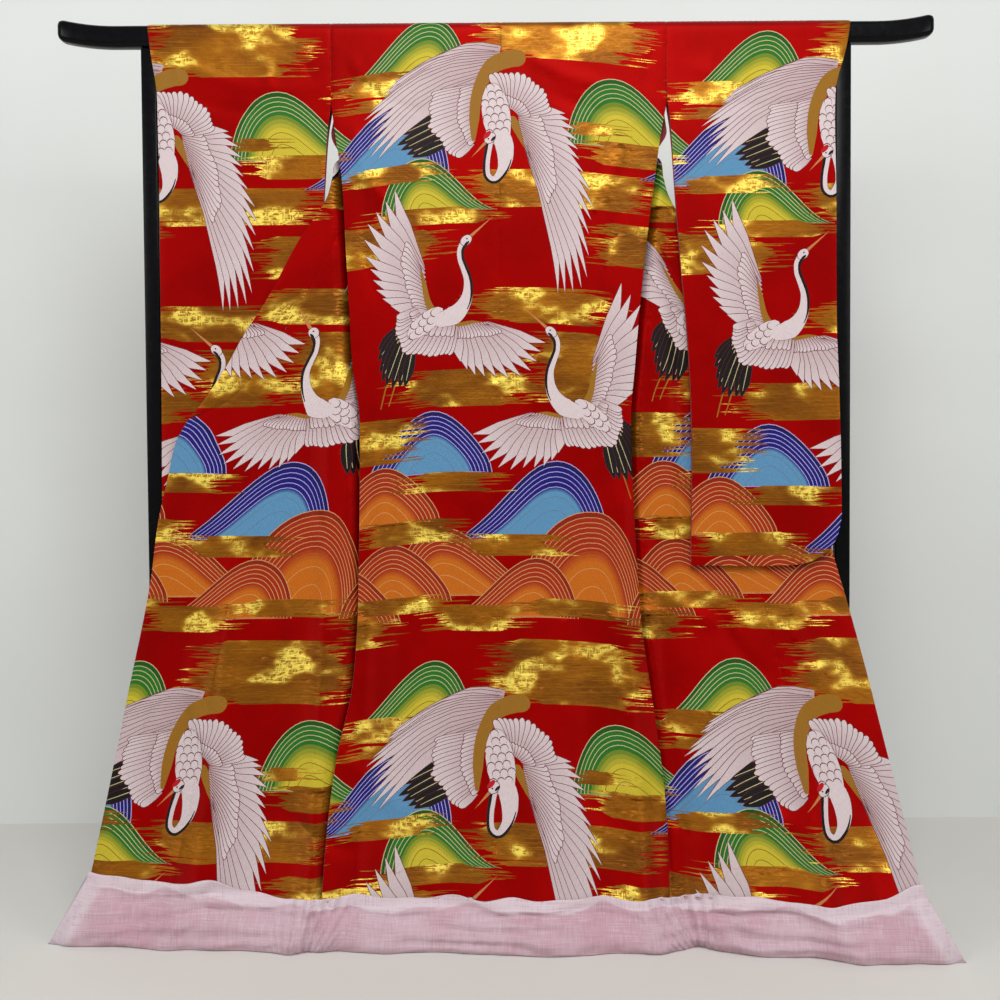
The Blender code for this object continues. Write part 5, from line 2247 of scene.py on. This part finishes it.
@dataclass(frozen=True)
class Satin:
    """Red satin ground: long floats with a fine twill, a little uneven in the dye."""

    name: str = "red_satin"
    red: str = "840102"
    deep: str = "6e0001"
    glow: str = "ff2018"
    twill: str = "5c0002"

    def make(self) -> bpy.types.Material:
        """Mixes the material."""
        bench = Bench(self.name)
        broad = bench.noise(bench.places(1.0, 1.0), 6.0)
        thread = bench.noise(bench.places(90.0, 900.0), 1.0, 2.0)
        colour = bench.mix(bench.ramp(broad, 0.35, 0.7), linear(self.red), linear(self.deep))
        colour = bench.mix(bench.ramp(thread, 0.3, 0.8, 0.0, 0.28), colour, linear(self.twill))
        soft = bench.bump(broad, 0.0016, 0.5)
        return bench.set(
            Base_Color=colour,
            Roughness=0.42,
            Specular_IOR_Level=1.0,
            Specular_Tint=linear(self.glow),
            Normal=bench.bump(thread, 0.00025, 0.5, soft),
        )


@dataclass(frozen=True)
class GoldFoil:
    """Flat gilt thread: smooth dark gold, fine streaks partly of uneven thread and partly of
    painted sheen, and painted highlights with a painted glow over crumpled places.
    """

    name: str = "gilt_thread"
    # The colours of painted light: the painted glints, and the lit gold of the painted glow and
    # sheen streaks.
    bright: str = "efd65c"
    lit: str = "c08a24"
    gold: str = "8c5208"
    dark: str = "6c3a05"

    def make(self) -> bpy.types.Material:
        """Mixes the material."""
        bench = Bench(self.name)
        streaks = bench.noise(bench.places(9.0, 560.0), 1.0, 3.0, 0.6)
        broad = bench.noise(bench.places(5.0, 11.0), 1.0, 2.0)
        # Where the painted highlights fall on the foil.
        glint_patches = bench.noise(bench.places(10.0, 17.0), 1.0, 2.0, 0.5)
        crumple = bench.noise(bench.places(75.0, 120.0), 1.0, 3.0, 0.6)
        across = bench.noise(bench.places(34.0, 420.0), 1.0, 2.0)
        upward = bench.noise(bench.places(360.0, 40.0), 1.0, 2.0)
        tone = bench.mix(bench.ramp(broad, 0.35, 0.65), linear(self.dark), linear(self.gold))
        # Fine streaks lightened towards the lit gold: partly uneven thread, partly painted sheen.
        tone = bench.mix(bench.ramp(streaks, 0.48, 0.78, 0.0, 0.35), tone, linear(self.lit))
        # Painted glints: bright gold painted on crumple facets inside the highlight patches, with a
        # painted glow of lit gold around them.
        glint_facets = bench.math(
            "MAXIMUM", bench.ramp(across, 0.50, 0.62), bench.ramp(upward, 0.53, 0.64)
        )
        glint_facets = bench.math("MAXIMUM", glint_facets, bench.ramp(crumple, 0.46, 0.56))
        painted_shine = bench.math("MULTIPLY", bench.ramp(glint_patches, 0.53, 0.63, 0.0, 0.9), glint_facets)
        glow = bench.mix(bench.ramp(glint_patches, 0.48, 0.60, 0.0, 0.45), tone, linear(self.lit))
        return bench.set(
            Base_Color=bench.mix(painted_shine, glow, linear(self.bright)),
            Roughness=bench.ramp(crumple, 0.3, 0.7, 0.34, 0.48),
            Metallic=0.55,
            Specular_IOR_Level=0.15,
            Normal=bench.bump(crumple, 0.0014, 0.5, bench.bump(broad, 0.003, 0.5)),
        )


@dataclass(frozen=True)
class Floss:
    """Glossy floss in the pattern's dyes, held down in a diagonal twill."""

    name: str = "silk_floss"
    pitch: float = 0.0036

    def make(self) -> bpy.types.Material:
        """Mixes the material."""
        bench = Bench(self.name)
        dye = bench.add("Attribute", attribute_name="floss").outputs["Color"]
        twill = bench.add(
            "TexWave",
            {
                "Vector": bench.places(1.0, 1.0),
                "Scale": 0.628 / self.pitch,
                "Distortion": 0.6,
                "Detail": 1.0,
            },
            wave_type="BANDS",
            bands_direction="DIAGONAL",
        ).outputs["Fac"]
        thread = bench.noise(bench.places(900.0, 120.0), 1.0, 2.0)
        lines = bench.ramp(twill, 0.05, 0.35, 0.26, 0.0)
        shaded = bench.add(
            "HueSaturation", {"Color": dye, "Saturation": 1.15, "Value": 0.62}
        ).outputs[0]
        colour = bench.mix(lines, dye, shaded)
        colour = bench.mix(bench.ramp(thread, 0.35, 0.75, 0.0, 0.30), colour, shaded)
        return bench.set(
            Base_Color=colour,
            Roughness=0.50,
            Specular_IOR_Level=0.16,
            Normal=bench.bump(twill, 0.00035, 0.6, bench.bump(thread, 0.0002, 0.5)),
        )


@dataclass(frozen=True)
class RedLining:
    """Plain dark red lining silk."""

    name: str = "lining_silk"
    colour: str = "8e0f18"
    thread: str = "6a0a12"

    def make(self) -> bpy.types.Material:
        """Mixes the material."""
        bench = Bench(self.name)
        thread = bench.noise(bench.places(700.0, 700.0), 1.0, 2.0)
        broad = bench.noise(bench.places(1.0, 1.0), 9.0)
        colour = bench.mix(
            bench.ramp(thread, 0.3, 0.8, 0.0, 0.4), linear(self.colour), linear(self.thread)
        )
        return bench.set(
            Base_Color=colour,
            Roughness=0.55,
            Sheen_Weight=0.25,
            Normal=bench.bump(thread, 0.0002, 0.5, bench.bump(broad, 0.002, 0.4)),
        )


@dataclass(frozen=True)
class Gauze:
    """Pale open gauze with slubs, over the red padding that shows through where it lies close."""

    name: str = "hem_gauze"
    pale: str = "d6c8ce"
    plain: str = "c4a7b1"
    through: str = "b98a97"
    open_weave: str = "a87684"

    def make(self) -> bpy.types.Material:
        """Mixes the material."""
        bench = Bench(self.name)
        spot = bench.add("TexCoord").outputs["Object"]
        doubled = bench.add("Attribute", attribute_name="doubled").outputs["Fac"]
        mottle = bench.noise(spot, 7.0, 3.0, 0.6)
        warp = bench.noise(bench.stretched(spot, (620.0, 60.0, 26.0)), 1.0, 2.0)
        weft = bench.noise(bench.stretched(spot, (16.0, 60.0, 560.0)), 1.0, 2.0)
        thread = bench.math("ADD", warp, weft)
        colour = bench.mix(
            bench.ramp(mottle, 0.42, 0.66, 0.0, 0.55), linear(self.plain), linear(self.through)
        )
        colour = bench.mix(bench.ramp(doubled, 0.1, 0.9, 0.0, 0.75), colour, linear(self.pale))
        colour = bench.mix(bench.ramp(thread, 1.05, 1.30, 0.0, 0.45), colour, linear(self.pale))
        colour = bench.mix(
            bench.ramp(thread, 0.95, 0.75, 0.0, 0.35), colour, linear(self.open_weave)
        )
        return bench.set(
            Base_Color=colour,
            Roughness=0.85,
            Specular_IOR_Level=0.2,
            Sheen_Weight=0.15,
            Sheen_Roughness=0.5,
            Normal=bench.bump(thread, 0.0005, 0.7, bench.bump(mottle, 0.003, 0.4)),
        )


@dataclass(frozen=True)
class BlackLacquer:
    """Polished black lacquer with a faint unevenness and a little dust."""

    name: str = "black_lacquer"
    colour: str = "050507"
    dust: str = "1a1a1c"

    def make(self) -> bpy.types.Material:
        """Mixes the material."""
        bench = Bench(self.name)
        spot = bench.add("TexCoord").outputs["Object"]
        peel = bench.noise(spot, 120.0, 2.0)
        dust = bench.noise(spot, 900.0, 2.0)
        colour = bench.mix(
            bench.ramp(dust, 0.62, 0.78, 0.0, 0.5), linear(self.colour), linear(self.dust)
        )
        return bench.set(
            Base_Color=colour,
            Roughness=bench.ramp(peel, 0.2, 0.8, 0.18, 0.28),
            Specular_IOR_Level=0.12,
            Normal=bench.bump(peel, 0.0002, 0.4),
        )


# ---------------------------------------------------------------- the studio


@dataclass(frozen=True)
class Studio:
    """A pale floor and wall, soft lights and the camera."""

    eye: tuple[float, float, float] = (0.002, -2.421, 0.880)
    pitch: float = -2.0
    roll: float = 0.38
    lens: float = 47.12
    floor: str = "dad7d1"
    wall: str = "e0e3e0"
    mottle: str = "cfcfcb"
    sky: str = "eef0f2"
    sky_strength: float = 0.44
    wall_behind: float = 0.62

    def camera(self) -> None:
        """Sets the camera level with the garment's middle, tipped down a little."""
        pitch, roll = math.radians(self.pitch), math.radians(self.roll)
        ahead = np.array([0.0, math.cos(pitch), math.sin(pitch)])
        right0 = np.array([1.0, 0.0, 0.0])
        up0 = np.cross(right0, ahead)
        right = math.cos(roll) * right0 - math.sin(roll) * up0
        up = math.sin(roll) * right0 + math.cos(roll) * up0
        data = bpy.data.cameras.new("camera")
        data.lens = self.lens
        data.sensor_width = 36.0
        data.clip_end = 50.0
        camera = bpy.data.objects.new("camera", data)
        bpy.context.scene.collection.objects.link(camera)
        turn = Matrix([[right[i], up[i], -ahead[i]] for i in range(3)]).to_4x4()
        camera.matrix_world = Matrix.Translation(self.eye) @ turn
        bpy.context.scene.camera = camera

    def room(self, depth: float) -> None:
        """The floor and the wall behind, each its own sheet."""
        for name, code in (("studio_floor", self.floor), ("studio_wall", self.wall)):
            bpy.ops.object.select_all(action="DESELECT")
            upright = name == "studio_wall"
            place = (0.0, depth + self.wall_behind, 2.5) if upright else (0.0, 0.0, -0.0005)
            tip = (math.radians(90), 0.0, 0.0) if upright else (0.0, 0.0, 0.0)
            bpy.ops.mesh.primitive_plane_add(size=14.0, location=place, rotation=tip)
            piece = bpy.context.object
            piece.name = name
            bench = Bench(name)
            spot = bench.add("TexCoord").outputs["Object"]
            soft = bench.noise(spot, 1.3, 2.0)
            colour = bench.mix(
                bench.ramp(soft, 0.3, 0.7, 0.0, 0.25), linear(code), linear(self.mottle)
            )
            piece.data.materials.append(bench.set(Base_Color=colour, Roughness=0.8))

    def lights(self) -> None:
        """A broad soft light overhead and in front, a weaker one at each side, and a pale sky."""
        for name, place, aim, size, power in (
            ("overhead", (0.2, -2.1, 2.85), (0.0, 0.0, 1.1), 1.6, 58.0),
            ("left_fill", (-2.6, -2.2, 1.9), (0.0, 0.0, 0.9), 1.4, 26.0),
            ("right_fill", (2.6, -2.4, 1.7), (0.0, 0.0, 0.9), 1.4, 22.0),
        ):
            data = bpy.data.lights.new(name, "AREA")
            data.size = size
            data.energy = power
            lamp = bpy.data.objects.new(name, data)
            bpy.context.scene.collection.objects.link(lamp)
            way = np.array(aim) - np.array(place)
            back = -way / np.linalg.norm(way)
            right = np.cross([0.0, 0.0, 1.0], back)
            right /= np.linalg.norm(right)
            up = np.cross(back, right)
            turn = Matrix([[right[i], up[i], back[i]] for i in range(3)]).to_4x4()
            lamp.matrix_world = Matrix.Translation(place) @ turn
        world = bpy.data.worlds.new("soft_sky")
        world.use_nodes = True
        sky = world.node_tree.nodes["Background"]
        sky.inputs["Color"].default_value = (*linear(self.sky), 1.0)
        sky.inputs["Strength"].default_value = self.sky_strength
        bpy.context.scene.world = world
        bpy.context.scene.view_settings.view_transform = "Standard"


# ---------------------------------------------------------------- putting it together


def main() -> None:
    """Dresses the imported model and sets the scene."""
    logging.basicConfig(level=logging.INFO, format="%(message)s")
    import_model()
    low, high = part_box("top_bar")
    studio = Studio()
    studio.camera()
    hanging = Hanging(stand_depth=(low[1] + high[1]) / 2)
    cloth = Cloth.woven()
    brocade = [Satin().make(), GoldFoil().make(), Floss().make(), RedLining().make()]
    back = Back(hanging)
    panels = [back.panel(side) for side in Side]
    for side in Side:
        sleeve = Sleeve(side, hanging)
        panels += sleeve.panels()
        panels += Front(side, hanging, back, sleeve.inner).panels()
    panels.append(Neck(hanging).panel())
    for panel in panels:
        panel.build(cloth, brocade)
    HemBand(hanging).build(Gauze().make())
    Stand(hanging.stand_depth).build(BlackLacquer().make())
    studio.room(hanging.stand_depth)
    studio.lights()


if __name__ == "__main__":
    main()
